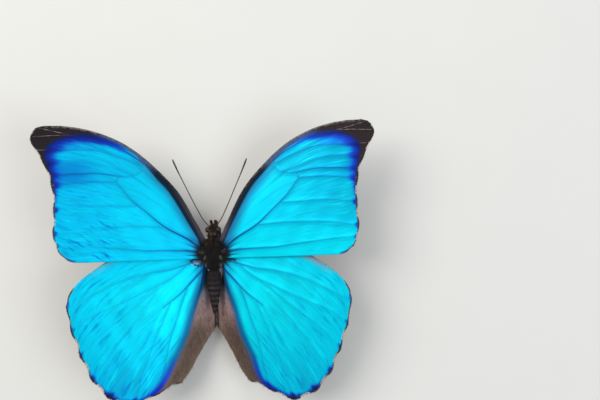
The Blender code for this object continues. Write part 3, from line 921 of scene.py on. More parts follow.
def strokedBlue(kind, look, field, plan, ray, out, forward):  # the blue with its strokes and creases
    paint, rootGap = wingPaint, field["rootGap"]
    isFore = kind == "forewing"
    blue = blueGround(look, rootGap, noise(plan, 0.9, 2))
    reaches = ((20, 38), (14, 2)) if isFore else ((-16, 0), (-30, -46))
    for name, reach in zip(("front", "rear"), reaches):
        blue = layOver(blue, look[name], ease(forward, *reach), 0.8)
    outer = ease(rootGap, 16, 44, 0.1, 1)
    across = 15 if isFore else 9.5
    broad = noise(stretched(ray, across, 1.3), 1, 3, 0.62)
    light = noise(stretched(ray, across * 1.2, 1), 1, 2, 0.5)
    # painted sheen: paler streaks along the rays of the outer wing
    blue = layOver(blue, paint["light"], ease(light, 0.52, 0.74, 0, 0.8), outer)
    blue = layOver(blue, paint["streak"], ease(broad, 0.5, 0.72), outer, look["strokes"])
    if not isFore:
        return blue
    # painted shade: a deeper azure lies between the veins before the margin,
    # where the wing's tilt dims its blue
    offMiddle = calc("ABSOLUTE", minus(forward, 28.5))
    blue = layOver(blue, paint["tiltShade"], ease(out, 36, 47), ease(offMiddle, 6.5, 1.5), look["tiltShade"])
    # slanting creases in the outer rear part, darkened with painted shade, small nicks nearer the root
    slanted = addNode("ShaderNodeVectorRotate", {"Vector": plan, "Angle": math.radians(-32)},
                      rotation_type="Z_AXIS").outputs[0]
    creaseShade = ease(noise(stretched(slanted, 1.5, 9), 1, 3, 0.5), 0.5, 0.68)
    blue = layOver(blue, paint["streak"], creaseShade, ease(rootGap, 24, 34), ease(forward, 17, 12),
                   remap(noise(plan, 1.5, 1), 0.42, 0.58), look["wrinkles"])
    nick = remap(noise(stretched(slanted, 7, 14), 1, 3, 0.7), 0.66, 0.72)
    return layOver(blue, paint["streak"], nick, remap(rootGap, 9, 14), remap(rootGap, 32, 24),
                   look["wrinkles"], 0.7)


# each vein is a thin dark line, broader at the root, with a soft shade beside it
def drawnVeins(look, field, blue):
    broader = times(remap(field["rootGap"], 14, 4, 0, 0.32), field["veinTone"])
    gap = minus(field["veinGap"], broader)
    shade = ease(gap, 0.2, 1.5, 0.42, 0)
    blue = layOver(blue, wingPaint["streak"], shade, field["veinTone"])
    return layOver(blue, wingPaint["vein"], ease(gap, 0.12, 0.4, 0.85, 0),
                   calc("SQRT", remap(field["veinTone"], look["faint"], 1)))


def violetOver(blue, depth):
    paint = wingPaint
    bands = colourRamp(remap(depth, -3, 2.4), [
        (0, paint["azure"]), (0.42, paint["royal"]), (0.68, paint["violet"]), (0.92, paint["navy"])])
    return layOver(blue, bands, ease(depth, -3, 0.2, 0, 1))


def flapBorderOver(side, colour, flapDepth, forward, amount):  # the deeper blue along the inner flap
    paint = wingPaint
    # painted shadow: dark teal along the fold toward the root; further back the violet-blue of the
    # border
    border = mixColour(ease(forward, -34, -42), paint["foldShadowTeal"], paint["borderBlue"])
    start = remap(forward, -28, -44, -4.1 if side < 0 else -2.9, -3.4 if side < 0 else -2)
    return layOver(colour, border, ease(flapDepth, start, -0.7), amount, 0.92)


def borderedWing(kind, look, field, blue, out, forward, grain, ragged):  # violet band, then black
    paint, rootGap = wingPaint, field["rootGap"]
    isFore = kind == "forewing"
    depth = plus(field["violetDepth"], times(ragged, 2.6))
    depth = plus(depth, ease(field["veinGap"], 0, 1.6, 1.1, 0))
    if isFore:  # wide round the tip, narrow down the margin
        tipShift = remap(forward, 26, 34, 0, look["tipShift"])
        depth = plus(times(depth, remap(forward, 17, 26, 2.4, 1)), tipShift)
        frontBand = times(remap(out, 44, 36, 0, look["frontBand"]), remap(forward, 26, 32))
        depth = minus(depth, frontBand)
    else:
        depth = times(minus(depth, remap(forward, -36, -46, 1.9, 1)), 2)
    colour = violetOver(blue, depth)
    blackDepth = plus(field["blackDepth"], times(ragged, 0.7))
    black = mixColour(grain, paint["black"], look["tip"])
    if isFore:  # the strip behind the leading edge is broader and bluer near the root
        blackDepth = plus(blackDepth, remap(rootGap, 32, 42, look["strip"], 0))
        blackDepth = plus(blackDepth, tipShift)
        black = layOver(black, paint["strip"], remap(rootGap, 42, 34), 0.92)
        black = layOver(black, paint["stripPale"], remap(rootGap, look["palerTo"], look["palerTo"] - 6),
                        remap(field["leadingGap"], 1.9, 0.9, 0, 0.9))
    blackness = ease(blackDepth, -0.2, 0.5)
    colour = layOver(colour, black, blackness)
    if isFore:  # further out the strip turns steel blue
        colour = layOver(colour, paint["costaBlue"], ease(rootGap, 33, 39), ease(rootGap, 58, 51),
                         blackness, remap(grain, 0.3, 0.7, 0.55, 0.95))
    return colour, minus(1, blackness)


# painted shade in the seam where the two flaps meet
def flapSeamShadeOver(flap, out, forward):  # dark where the two flaps meet
    return layOver(flap, wingPaint["flapEdge"], remap(out, 0.4, 1.1, 0.95, 0), remap(forward, -19, -21))


# lays the hindwing's brown inner flap over its blue
def flapOver(side, colour, metal, plan, out, forward, marks, ragged):
    paint = wingPaint
    flapDepth = plus(readValue("flapDepth"), times(ragged, 0.6))
    colour = flapBorderOver(side, colour, flapDepth, forward, metal)
    hair = noise(stretched(plan, 30, 2.2), 1, 4)
    inFlap = ease(flapDepth, -0.5, 1.2)
    flap = flapColours(out, forward, hair, max(side, 0))
    flap = flapSeamShadeOver(flap, out, forward)
    # painted shade: the right flap darker along its blue border
    if side > 0:
        flap = layOver(flap, paint["navyAndShade"], remap(flapDepth, 0.4, 2.2, 0.42, 0))
    colour = mixColour(inFlap, colour, flap)
    if side < 0:  # a lilac spot at the root
        gap = distance(stretched(plan, 0.45, 1.3), (0.29, -0.36, 0))
        gap = plus(gap, times(minus(marks, 0.5), 0.3))
        colour = layOver(colour, paint["lilac"], ease(gap, 0.05, 0.12, 0.75, 0))
    torn = minus(noise(plan, 11, 3, 0.6), 0.5)
    markGap = plus(readValue("markGap"), times(torn, 2.6))
    colour = layOver(colour, paint["rootMark"], ease(markGap, 0, 0.55, 0.9, 0))
    return colour, times(metal, minus(1, inFlap))


def upperMaterial(kind, word, side):
    look, paint = upperLook[(kind, side)], wingPaint
    material, shader = newMaterial(kind + word.capitalize() + "Blue", **{
        "Specular IOR Level": 0.1, "Sheen Weight": 0.04, "Sheen Roughness": 0.35,
        "Sheen Tint": tint(120, 110, 255)})
    plan, ray = readMap("wingPlan"), readMap("wingRay")
    out, forward = (times(part, 10) for part in list(partsOf(plan))[:2])
    names = ["rootGap", "veinGap", "veinTone", "marginGap", "leadingGap", "blackDepth", "violetDepth"]
    field = {name: readValue(name) for name in names}
    rootGap, leadingGap = field["rootGap"], field["leadingGap"]
    grain = noise(plan, 14, 4)
    ragged = minus(noise(stretched(ray, 11, 3), 1, 4, 0.65), 0.5)

    blue = strokedBlue(kind, look, field, plan, ray, out, forward)
    rows, fine = scaleRows(shader, ray, 0.22)
    blue = layOver(blue, paint["streak"], remap(rows, 0.25, 0.75, 0, 0.18))
    blue = drawnVeins(look, field, blue)

    # dark marks spread over the root like rays, partly painted shade; black by the body, its dark hair
    # with painted shade
    marks = noise(stretched(ray, 3.4, 0.5), 1, 2, 0.6)
    blue = layOver(blue, paint["navyAndShade"], ease(rootGap, 3.5, 11, 1, 0),
                   remap(marks, 0.42, 0.58, 0.05, 0.95))
    if kind == "forewing":  # a duller band lies behind the leading edge near the root
        blue = layOver(blue, paint["steel"], ease(leadingGap, 2.4, 6.4, look["steel"], 0),
                       ease(rootGap, 30, 46, 1, 0))
    else:  # where the forewing ends over it, the hindwing's front is greyer
        # painted shadow: the forewing's rear edge shades the hindwing's front grey
        blue = layOver(blue, paint["shadowGreyBlue"], ease(leadingGap, 0.6, 2.6, look["grey"], 0),
                       remap(rootGap, 20, 28), remap(rootGap, 42, 36))
    colour, metal = borderedWing(kind, look, field, blue, out, forward, grain, ragged)

    # the leading edge itself is pale and mottled, and the margin carries pale flecks between the veins
    mottle = remap(noise(plan, 9, 3), 0.4, 0.58)
    paleFrom = remap(rootGap, 20, 44, 0.12, 0.35)
    paleTo = remap(rootGap, 20, 44, 0.42, 0.85)
    pale = times(mottle, remap(leadingGap, paleFrom, paleTo, 0.85, 0))
    if kind == "hindwing":
        pale = times(pale, 0.4)
    colour = layOver(colour, paint["paleEdge"], pale)
    metal = times(metal, minus(1, pale))
    colour = layOver(colour, paint["fringeWhite"], ease(field["marginGap"], 0.1, 0.4, 0.4, 0),
                     ease(field["veinGap"], 1.8, 3))
    if kind == "hindwing":
        colour, metal = flapOver(side, colour, metal, plan, out, forward, marks, ragged)
    hairAndShadeByBody = plus(ease(rootGap, 3, 6.4, 1, 0), times(minus(marks, 0.5), 0.8), clamp=True)
    colour = layOver(colour, paint["rootHairAndShade"], hairAndShadeByBody)
    metal = times(metal, minus(1, hairAndShadeByBody))

    join(times(metal, 0.55), shader.inputs["Metallic"])
    rough = minus(plus(times(fine, 0.16), 0.62), times(metal, 0.22))
    dress(shader, colour, rough)
    return material


def underMaterial(kind):
    paint = wingPaint
    finish = {"Specular IOR Level": 0.3, "Metallic": 0}
    material, shader = newMaterial(kind + "Underside", **finish)
    plan, ray = readMap("wingPlan"), readMap("wingRay")
    veinGap, marginGap, eyeRing, bandGap = (
        readValue(name) for name in ("veinGap", "marginGap", "eyeRing", "bandGap"))
    rows, fine = scaleRows(shader, ray, 0.25)
    ground = noise(stretched(ray, 10, 2), 1, 4)
    ground = mixColour(ground, paint["underDark"], paint["underGround"])
    ground = mixColour(remap(rows, 0.2, 0.8, 0, 0.3), ground, paint["underPale"])
    ragged = times(minus(noise(plan, 6, 3), 0.5), 0.9)
    band = plus(bandGap, ragged)
    ground = mixColour(ease(band, 1.5, 2.4, 0.55, 0), ground, paint["underDark"])
    ground = mixColour(ease(band, 0.35, 0.75, 0.8, 0), ground, paint["underPale"])
    margin = plus(marginGap, ragged)
    lines = colourRamp(times(margin, 0.1), [
        (0, tint(50, 34, 28)), (0.06, tint(50, 34, 28)), (0.075, paint["underLine"]),
        (0.105, paint["underLine"]), (0.12, tint(66, 46, 34)), (0.22, tint(70, 48, 36)),
        (0.235, tint(176, 150, 120)), (0.28, tint(150, 122, 96)), (0.31, tint(84, 60, 44))])
    ground = mixColour(ease(margin, 3, 3.6, 1, 0), ground, lines)
    rings = colourRamp(times(eyeRing, 0.5), [
        (0, tint(226, 236, 246)), (0.06, tint(198, 214, 232)), (0.09, tint(30, 24, 34)),
        (0.24, tint(22, 16, 18)), (0.265, tint(150, 104, 40)), (0.3, tint(214, 170, 84)),
        (0.385, tint(206, 158, 72)), (0.405, tint(44, 28, 20)), (0.46, tint(48, 32, 24)),
        (0.49, tint(128, 100, 76))])
    colour = mixColour(remap(eyeRing, 0.94, 1, 1, 0), ground, rings)
    colour = mixColour(ease(veinGap, 0.1, 0.4, 0.5, 0), colour, paint["underDark"])
    dress(shader, colour, remap(fine, 0.2, 0.8, 0.5, 0.72))
    return material


def veinMaterial(kind, word, side):
    look, paint = upperLook[(kind, side)], wingPaint
    finish = {"Specular IOR Level": 0.15}
    material, shader = newMaterial(kind + word.capitalize() + "Vein", **finish)
    place = addNode("ShaderNodeTexCoord").outputs["Object"]
    grain, patchy = noise(place, 2600, 3), noise(place, 420, 2)
    names = ("veinTone", "horn", "violetDepth", "flapDepth", "forward", "rootGap")
    tone, horn, violetDepth, flapDepth, forward, rootGap = (readValue(name) for name in names)
    above = blueGround(look, rootGap, 0.5)
    above = layOver(above, paint["streak"], remap(rootGap, 16, 44, 0, 0.22))
    above = mixColour(remap(tone, look["faint"], 0.7, 0.05, 0.9), above, paint["vein"])
    above = mixColour(remap(tone, 0.7, 1), above, paint["veinDark"])
    bare = mixColour(remap(patchy, 0.42, 0.6), paint["hornDark"], paint["horn"])
    bare = mixColour(remap(rootGap, 34, 54), paint["costaHorn"], bare)
    above = mixColour(horn, violetOver(above, violetDepth), bare)
    if kind == "hindwing":
        above = flapBorderOver(side, above, flapDepth, forward, 1)
        # the flap's colours, with the right flap's painted shade
        flap = flapColours(5, forward, remap(grain, 0.3, 0.7), max(side, 0))
        above = mixColour(ease(flapDepth, -0.5, 1.2), above, flap)
    # the root's navy marks and black by the body, partly painted shade, as on the sheet
    above = layOver(above, paint["navyAndShade"], ease(rootGap, 3.5, 11, 0.6, 0))
    above = layOver(above, paint["rootHairAndShade"], ease(rootGap, 3.2, 6.6, 0.95, 0))
    under = mixColour(grain, paint["veinUnder"], paint["veinUnderPale"])
    up = remap(readValue("facesUp"), -0.2, 0.2)
    dress(shader, mixColour(up, under, above), remap(grain, 0.2, 0.8, 0.5, 0.7))
    return material


def fringeMaterial():
    material, shader = newMaterial("fringeScales", **{"Specular IOR Level": 0.3})
    shade = readValue("scaleShade")
    dark = mixColour(shade, tint(24, 16, 22), tint(66, 48, 46))
    white = mixColour(shade, tint(168, 156, 148), tint(224, 218, 208))
    pale = times(readValue("pale"), remap(shade, 0.1, 0.3))
    dress(shader, mixColour(pale, dark, white), remap(shade, 0, 1, 0.5, 0.75))
    return material


# body: one skin from face to tail, the coat's depth inside the solids

bodyLook = {
    # place along the body, half width, half height, middle height
    "sections": [
        (10.92, 0.02, 0.02, 10.2), (10.8, 0.42, 0.5, 10.22), (10.5, 0.84, 1, 10.25),
        (10, 1.18, 1.42, 10.28), (9.3, 1.45, 1.68, 10.33), (8.5, 1.62, 1.76, 10.38),
        (7.7, 1.62, 1.7, 10.42), (7, 1.46, 1.5, 10.46), (6.45, 1.32, 1.36, 10.5),
        (6.1, 1.32, 1.36, 10.52), (5.75, 1.48, 1.52, 10.55), (5.2, 1.86, 1.92, 10.58),
        (4.2, 2.36, 2.42, 10.6), (3, 2.84, 2.82, 10.62), (1.6, 3.16, 3.02, 10.62),
        (0.2, 3.28, 3.04, 10.6), (-1.4, 3.24, 2.96, 10.56), (-2.8, 3.04, 2.76, 10.5),
        (-3.9, 2.58, 2.32, 10.44), (-4.7, 1.92, 1.72, 10.38), (-5.25, 1.48, 1.34, 10.33),
        (-5.7, 1.52, 1.4, 10.3), (-6.3, 1.92, 1.78, 10.26), (-7.2, 2.3, 2.12, 10.22),
        (-8.6, 2.48, 2.24, 10.16), (-10.4, 2.42, 2.2, 10.11), (-12.4, 2.2, 2.04, 10.03),
        (-14.4, 1.93, 1.84, 9.91), (-16.4, 1.62, 1.58, 9.8), (-18.2, 1.28, 1.26, 9.7),
        (-19.8, 0.94, 0.94, 9.63), (-21, 0.6, 0.62, 9.58), (-21.8, 0.28, 0.3, 9.53),
        (-22.05, 0.02, 0.02, 9.51)],
    # along the body: how long its hair is, and how far the hair stands up
    "hairLength": [
        (-22, 0.75), (-20, 0.6), (-12, 0.62), (-6.5, 0.85), (-5, 1.3), (-2, 1.3), (2, 1.2),
        (4.5, 1.35), (6, 1.6), (7.2, 1.25), (8.8, 0.9), (10, 0.7), (10.9, 0.5)],
    "hairLift": [
        (-22, 0.2), (-7, 0.2), (-5, 0.34), (3, 0.36), (5, 0.5), (6.2, 0.72), (7.5, 0.66), (9, 0.75),
        (11, 0.5)],
    "rings": 300, "around": 112,
    "segmentStart": -6.3, "segmentLength": 1.92, "segmentStep": 0.1,
    # how high each stands, its place along the body and reach there, its place up the side and reach:
    # shoulder plates, a collar behind the neck, three swellings that legs hang from, a brow over the eye
    "swellings": [
        (0.3, 3.1, 1.25, 0.72, 0.34), (0.26, 5, 0.42, 1, 0.42), (0.22, 3.4, 0.8, -0.95, 0.35),
        (0.22, 0.5, 0.8, -0.95, 0.35), (0.22, -2.4, 0.8, -0.95, 0.35), (0.12, 8.9, 0.9, 0.85, 0.22)],
    "axisHeight": 10.3,
}
eyeLook = {
    "place": (1.78, 8.9, 10.6), "radius": 1.15, "wide": 0.98, "tall": 1.06,
    "rows": 40, "around": 64,
}


def bodyShape():  # the skin's points, ring by ring, and each ring's place and size
    look = bodyLook
    rings = smoothCurve(look["sections"], look["rings"])
    turn = np.linspace(-math.pi / 2, 1.5 * math.pi, look["around"] + 1)  # the seam lies underneath
    y, width, height, middle = (column[:, None] for column in rings.T)
    across, up = np.cos(turn)[None, :], np.sin(turn)[None, :]

    # each abdominal ring starts a step above the one behind it
    phase = np.mod((look["segmentStart"] - y) / look["segmentLength"], 1)
    onAbdomen = smoothStep((look["segmentStart"] - y) / 0.6) * smoothStep((y + 21) / 2)
    step = look["segmentStep"] * (phase - 0.4 - smoothStep((phase - 0.86) / 0.14) * 1.1) * onAbdomen
    lump = step * np.ones_like(across)
    side = np.abs(across)
    angle = np.arctan2(up, side)  # how high on the body's side, from -pi / 2 below to pi / 2 on top
    # a groove down the back and a groove across it
    groove = 0.16 * np.exp(-(across / 0.1) ** 2) * (up > 0) * smoothStep((5 - y) / 1.5)
    lump -= groove * smoothStep(y + 2.2)
    lump -= 0.2 * np.exp(-((y + 2.55 + 0.5 * side) / 0.28) ** 2) * smoothStep(up + 0.1)
    for rise, place, reach, level, spread in look["swellings"]:
        lump += rise * np.exp(-((y - place) / reach) ** 2 - ((angle - level) / spread) ** 2)
    x = (width + lump * np.clip(width, 0, 1)) * across
    z = middle + (height + lump * np.clip(height, 0, 1)) * up
    return np.stack([x, y + 0 * x, z], axis=-1), rings


def bodyFields(shape):
    y, across, z = shape[..., 1], shape[..., 0], shape[..., 2]
    back = unit(np.gradient(shape, axis=0))  # rings run from the face to the tail
    normals = surfaceNormals(shape)
    middle = np.stack([np.zeros_like(y), y, np.full_like(y, bodyLook["axisHeight"])], axis=-1)
    normals *= np.sign((normals * (shape - middle)).sum(axis=2, keepdims=True) + 1e-9)
    upward = np.clip(normals[..., 2], -1, 1)

    # hair lies backward, but forward and down on the face, and up off the crown
    face = smoothStep((y - 8.6) / 1.2)[..., None]
    forward = np.stack([0.25 * np.sign(across), np.ones_like(y), 0.35 * upward - 0.15], axis=-1)
    lie = (1 - face) * back + face * forward
    # on the sides of the thorax it also slopes down
    flank = np.exp(-((y - 0.5) / 4.5) ** 2) * (1 - np.abs(upward))
    lie = lie - np.stack([np.zeros_like(y), np.zeros_like(y), 0.7 * flank], axis=-1)

    belly = smoothStep(-upward) * np.exp(-((y - 0.5) / 5) ** 2)
    length = fromTable(bodyLook["hairLength"], y) * (1 + 0.35 * belly)
    lift = fromTable(bodyLook["hairLift"], y)
    # none on the eyes
    eyeGap = np.stack([np.abs(across), y, z], axis=-1) - np.array(eyeLook["place"])
    eyeGap = np.linalg.norm(eyeGap, axis=-1)
    density = smoothStep((eyeGap - eyeLook["radius"] + 0.02) / 0.12)
    return lie, length, lift, density


def makeSkin(material):
    shape, rings = bodyShape()
    lie, length, lift, density = bodyFields(shape)
    rows, columns = shape.shape[0], shape.shape[1] - 1
    inner = shape[1:-1, :-1].reshape(-1, 3)
    tips = np.array([shape[0, :-1].mean(axis=0), shape[-1, :-1].mean(axis=0)])
    points = np.vstack([inner, tips])
    travelled = travel(rings)
    heights = mapMargin + (1 - 2 * mapMargin) * travelled / travelled[-1]
    faces, corners = closedTube(rows - 2, columns, heights)

    def cut(values):  # the field's inner rings, then its two tips
        values = np.asarray(values)
        return np.concatenate([values[1:-1, :-1].reshape(-1, *values.shape[2:]), values[[0, -1], 0]])

    fields = {"lie": cut(lie), "hairLength": cut(length), "hairLift": cut(lift),
              "hairDensity": cut(density), "bodyPlace": cut(shape)}
    maps = {"OFBake": corners, "skinMap": corners}
    skin = meshObject("bodySkin", points, faces, [material], fields, maps)
    print("body skin:", len(faces), "faces")
    return skin


def bodyMarkings(place, shade):  # the colours that the skin and its coat share
    x, y, z = partsOf(place)
    side = calc("ABSOLUTE", x)
    spots = noise(place, 1.9, 3, 0.6)
    dark, brown = tint(8, 8, 10), tint(21, 19, 21)
    thorax = mixColour(remap(shade, 0.55, 1, 0, 0.8), dark, brown)
    gold = mixColour(remap(shade, 0.88, 0.93), tint(11, 9, 8), tint(138, 112, 78))
    isHead = ease(y, 2.8, 4.6)
    colour = mixColour(isHead, thorax, gold)
    # abdomen: dark, with a faint paler line at the back of each ring
    phase = calc("DIVIDE", minus(bodyLook["segmentStart"], y), bodyLook["segmentLength"])
    phase = calc("FRACT", phase)
    line = ease(phase, 0.62, 0.84, 0, 0.85)
    plain = mixColour(remap(shade, 0.4, 1, 0, 0.7), tint(24, 21, 26), tint(60, 53, 60))
    line = times(line, remap(y, -8.5, -11.5, 0.2, 1))
    banded = mixColour(line, plain, tint(110, 98, 112))
    isAbdomen = ease(y, -5, -6.4)
    colour = mixColour(isAbdomen, colour, banded)
    # fawn underneath
    low = plus(ease(z, 10.4, 8.4), times(minus(spots, 0.5), 0.6), clamp=True)
    fawn = mixColour(shade, tint(74, 54, 40), tint(140, 108, 78))
    colour = mixColour(times(low, 0.85), colour, fawn)
    # pale hair where the wings join
    for forward, reach in ((-0.3, 0.9), (-3, 0.8)):
        gap = calc("ABSOLUTE", minus(y, forward))
        colour = layOver(colour, tint(186, 180, 176), ease(gap, 0.2, reach, 1, 0), ease(side, 1.9, 2.6),
                         remap(shade, 0.25, 0.45))
    # white dots on the head
    for out, forward, up in ((0.55, 8, 12.1), (1.1, 9.9, 11.5), (1.9, 7.3, 10.4)):
        gap = distance(vectorOf(side, y, z), (out, forward, up))
        colour = mixColour(ease(gap, 0.12, 0.26, 0.8, 0), colour, tint(160, 148, 134))
    return colour


def skinMaterial():
    material, shader = newMaterial("bodySkinDark", **{"Specular IOR Level": 0.25})
    place = bodyPlace()
    grain = noise(place, 9, 4)
    shade = remap(grain, 0.3, 0.7)
    colour = mixColour(0.45, bodyMarkings(place, shade), tint(16, 12, 12))
    bumpOn(shader, 0.6, 0.00008, plus(grain, times(cells(place, 7), -0.7)))
    dress(shader, colour, remap(grain, 0.2, 0.8, 0.6, 0.85))
    return material


# coat: tufts of fine hairs set over a surface and lying the way its field says

def tuftMesh(name, strands, width, splay, steps=3):
    points, faces, blade = [], [], []
    for offset, reach in strands:
        start = len(points)
        for step in range(steps):
            t = step / steps
            rise = t * (1.55 - 0.7 * t) * reach
            across = offset + splay * offset * 3 * t
            half = width * (1 - 0.55 * t)
            for corner in range(3):
                turn = 2 * math.pi * corner / 3 + 0.5
                points.append((t * reach, across + half * math.cos(turn), rise + half * math.sin(turn)))
                blade.append((t, 0.5 + 4 * (across + half * math.cos(turn))))
        points.append((reach, offset + splay * offset * 3, 0.85 * reach))
        blade.append((1, 0.5 + 4 * offset))
        faces.append((start + 2, start + 1, start))
        for step in range(steps - 1):
            for corner in range(3):
                a, b = start + 3 * step + corner, start + 3 * step + (corner + 1) % 3
                faces.append((a, b, b + 3, a + 3))
        last, tip = start + 3 * (steps - 1), start + 3 * steps
        faces += [(last + corner, last + (corner + 1) % 3, tip) for corner in range(3)]
    mesh = plainMesh(name, points, [], faces)
    addMap(mesh, "bladeMap", blade)
    mesh.shade_smooth()
    return addObject(name, mesh)


def coatTree():
    tree, given, output = newTree("coatTree", {
        "Tuft": "Object", "Tufts Per Square Millimetre": "Float", "Length": "Float",
        "Unevenness": "Float", "Spread": "Float", "Patch": "Float", "Seed": "Int",
        "Material": "Material"})
    seed, uneven = given["Seed"], given["Unevenness"]
    density = times(given["Tufts Per Square Millimetre"], 1e6, fieldOf("hairDensity"))
    inputs = {"Mesh": given["Geometry"], "Density": density, "Seed": seed}
    scatter = addNode("GeometryNodeDistributePointsOnFaces", inputs, distribute_method="RANDOM")
    shade = randomValue(0, 1, seed, 11)
    points = storeField(scatter.outputs["Points"], "hairShade", shade)
    rolled, tipped = randomValue(-0.25, 0.25, seed, 3), randomValue(-0.22, 0.12, seed, 4)
    swung = times(randomValue(-1, 1, seed, 5), given["Spread"])
    wobble = vectorOf(rolled, tipped, swung)
    turn = turned(scatter.outputs["Normal"], "lie", wobble)
    vary = randomValue(minus(1, uneven), plus(1, uneven), seed, 6)
    length = times(fieldOf("hairLength"), given["Length"], vary, mm)
    rise = times(length, fieldOf("hairLift"))
    girth = times(calc("SQRT", times(length, 1000)), mm)
    hair = copiesOn(points, given["Tuft"], turn, vectorOf(length, girth, rise))
    hair = addNode("GeometryNodeRealizeInstances", {"Geometry": hair}).outputs[0]
    # each tuft's patch of the bake lies at its root's place on the skin's own map
    inputs = {0: fieldOf("bladeMap", "FLOAT_VECTOR"), "Scale": given["Patch"]}
    blade = addNode("ShaderNodeVectorMath", inputs, operation="SCALE").outputs[0]
    inputs = {0: fieldOf("skinMap", "FLOAT_VECTOR"), 1: blade}
    spot = addNode("ShaderNodeVectorMath", inputs).outputs[0]
    hair = storeField(hair, "OFBake", spot, "FLOAT2", "CORNER")
    finishTree(hair, given["Material"], output)
    return tree


def coatMaterial(name, markings):  # markings: makes the colour from a root's place and its shade
    material, shader = newMaterial(name, **{
        "Specular IOR Level": 0.3, "Sheen Weight": 0.1, "Sheen Roughness": 0.5,
        "Sheen Tint": tint(190, 170, 150)})
    place = bodyPlace()
    shade = readValue("hairShade")
    along = partsOf(readMap("bladeMap"))[0]
    colour = markings(place, shade)
    colour = mixColour(remap(along, 0, 0.6), filtered(colour, 150, 145, 140), colour)
    dress(shader, colour, remap(shade, 0, 1, 0.45, 0.7))
    return material


coatLook = {
    # part of the body: its two ends, tufts per square millimetre
    "parts": {"headCoat": (5.6, 11.2, 26), "thoraxCoat": (-5.5, 5.6, 15),
              "abdomenCoat": (-22.3, -5.5, 19)},
    "patch": 0.003, "unevenness": 0.3,
    "spread": {"body": 0.35, "wing": 0.4, "leg": 0.3},
    "seed": {"body": 20, "leg": 40, "palp": 50, "fringe": 70, "wing": 80},
    "legDensity": 22, "palpDensity": 40,
    # each tuft's hairs as (place across, length), then how thick they are and how far they spread
    "tufts": {"hairTuft": ([(-0.055, 0.86), (0, 1), (0.06, 0.78)], 0.034, 0.5),
              "wingTuft": ([(-0.05, 0.8), (0.05, 1)], 0.032, 0.6)},
}


def growTufts(name, source, tree, tuft, material, density, spread, seed, keepSource=True):
    return grow(name, source, tree, {
        "Tuft": tuft, "Tufts Per Square Millimetre": density, "Length": 1,
        "Unevenness": coatLook["unevenness"], "Spread": coatLook["spread"][spread],
        "Patch": coatLook["patch"], "Seed": seed, "Material": material}, keepSource)


def growCoat(skin, tree, tuft, material):
    coats = []
    y = (np.array([vertex.co.y for vertex in skin.data.vertices]) - origin[1]) / mm
    field = skin.data.attributes["hairDensity"].data
    whole = np.empty(len(y), dtype=np.float32)
    field.foreach_get("value", whole)
    parts = enumerate(coatLook["parts"].items(), coatLook["seed"]["body"])
    for seed, (name, (low, high, density)) in parts:
        inside = smoothStep((y - low) / 0.3 + 0.5) * smoothStep((high - y) / 0.3 + 0.5)
        field.foreach_set("value", (whole * inside).astype(np.float32))
        coat = growTufts(name, skin, tree, tuft, material, density, "body", seed)
        print("coat:", name, len(coat.data.polygons), "faces")
        coats.append(coat)
    field.foreach_set("value", whole)
    return coats


# hair on the wings: over their roots, and down the hindwing's inner flap

wingHairLook = {
    "rootReach": 4.6, "rootLength": 1.3, "rootLift": 0.18, "rootDensity": 9,
    "flapLength": 1.15, "flapLift": 0.13, "flapDensity": 4.5,
}


def wingHairMarkings(place, shade):
    x, y, _ = partsOf(place)
    out = calc("ABSOLUTE", x)
    dark = mixColour(shade, tint(10, 9, 13), tint(32, 30, 40))
    outer = mixColour(shade, tint(10, 26, 62), tint(24, 74, 138))
    colour = mixColour(ease(out, 4.2, 5.6), dark, outer)
    # a pale tuft lies on each root
    for forward in (0.9, -2.3):
        gap = calc("ABSOLUTE", minus(y, forward))
        colour = layOver(colour, tint(150, 144, 144), remap(gap, 0.2, 0.8, 1, 0), remap(out, 4.4, 3.8),
                         remap(shade, 0.62, 0.7))
    # the right flap's hair takes the same painted shade
    isRight = remap(x, -0.1, 0.1)
    flap = flapColours(out, y, 1, isRight)
    flap = mixColour(times(shade, 0.35), flap, tint(214, 196, 188))
    flap = mixColour(ease(y, -12.5, -9.5), flap, flapColours(out, y, shade, isRight))
    flap = flapSeamShadeOver(flap, out, y)
    return mixColour(ease(y, -3.6, -6), colour, flap)


def growWingHair(kind, word, side, flat, middle, normals, tree, tuft, material, seed):
    look, wing = wingHairLook, wingShapes[kind]
    rows, columns = flat.shape[:2]
    surface = (middle + normals * wingSheet["halfThickness"] * 0.8).reshape(-1, 3)
    spots = flat.reshape(-1, 2)
    atRoot = smoothStep((look["rootReach"] - fromRoot(spots)) / 1.8)
    inFlap = np.zeros(len(spots))
    if kind == "hindwing":
        inFlap = smoothStep((-pastEdge(spots, wing["flapEdge"], 60) - 1) / 0.6) * (1 - atRoot)
    lie = unit(np.gradient(middle, axis=0).reshape(-1, 3))
    lie = lie * (1.0 - inFlap)[:, None] + inFlap[:, None] * np.array((0.10 * side, -1.0, 0.0))
    faces = gridFaces(rows, columns, flip=side < 0)
    density = (atRoot * look["rootDensity"] + inFlap * look["flapDensity"]) / look["rootDensity"]
    used = density[faces].max(axis=1) > 0.01
    kept = np.unique(faces[used])
    renumber = np.full(len(spots), -1)
    renumber[kept] = np.arange(len(kept))
    fields = {
        "lie": lie[kept], "bodyPlace": surface[kept], "hairDensity": density[kept],
        "hairLength": (atRoot * look["rootLength"] + inFlap * look["flapLength"])[kept] + 0.2,
        "hairLift": (look["flapLift"] + atRoot * (look["rootLift"] - look["flapLift"]))[kept]}
    low, high = spots[kept].min(axis=0), spots[kept].max(axis=0)
    used = renumber[faces[used]]
    unwrapped = 0.02 + 0.95 * (spots[kept] - low) / (high - low)
    maps = {"skinMap": unwrapped[used.ravel()]}
    source = meshObject("hairBed", surface[kept], used, [material], fields, maps)
    hair = growTufts(kind + "_" + word + "_hair", source, tree, tuft, material, look["rootDensity"],
                     "wing", seed, keepSource=False)
    print("wing hair:", hair.name, len(hair.data.polygons), "faces")
    return hair


# tubes swept along a route: legs, feelers, palps and tongue

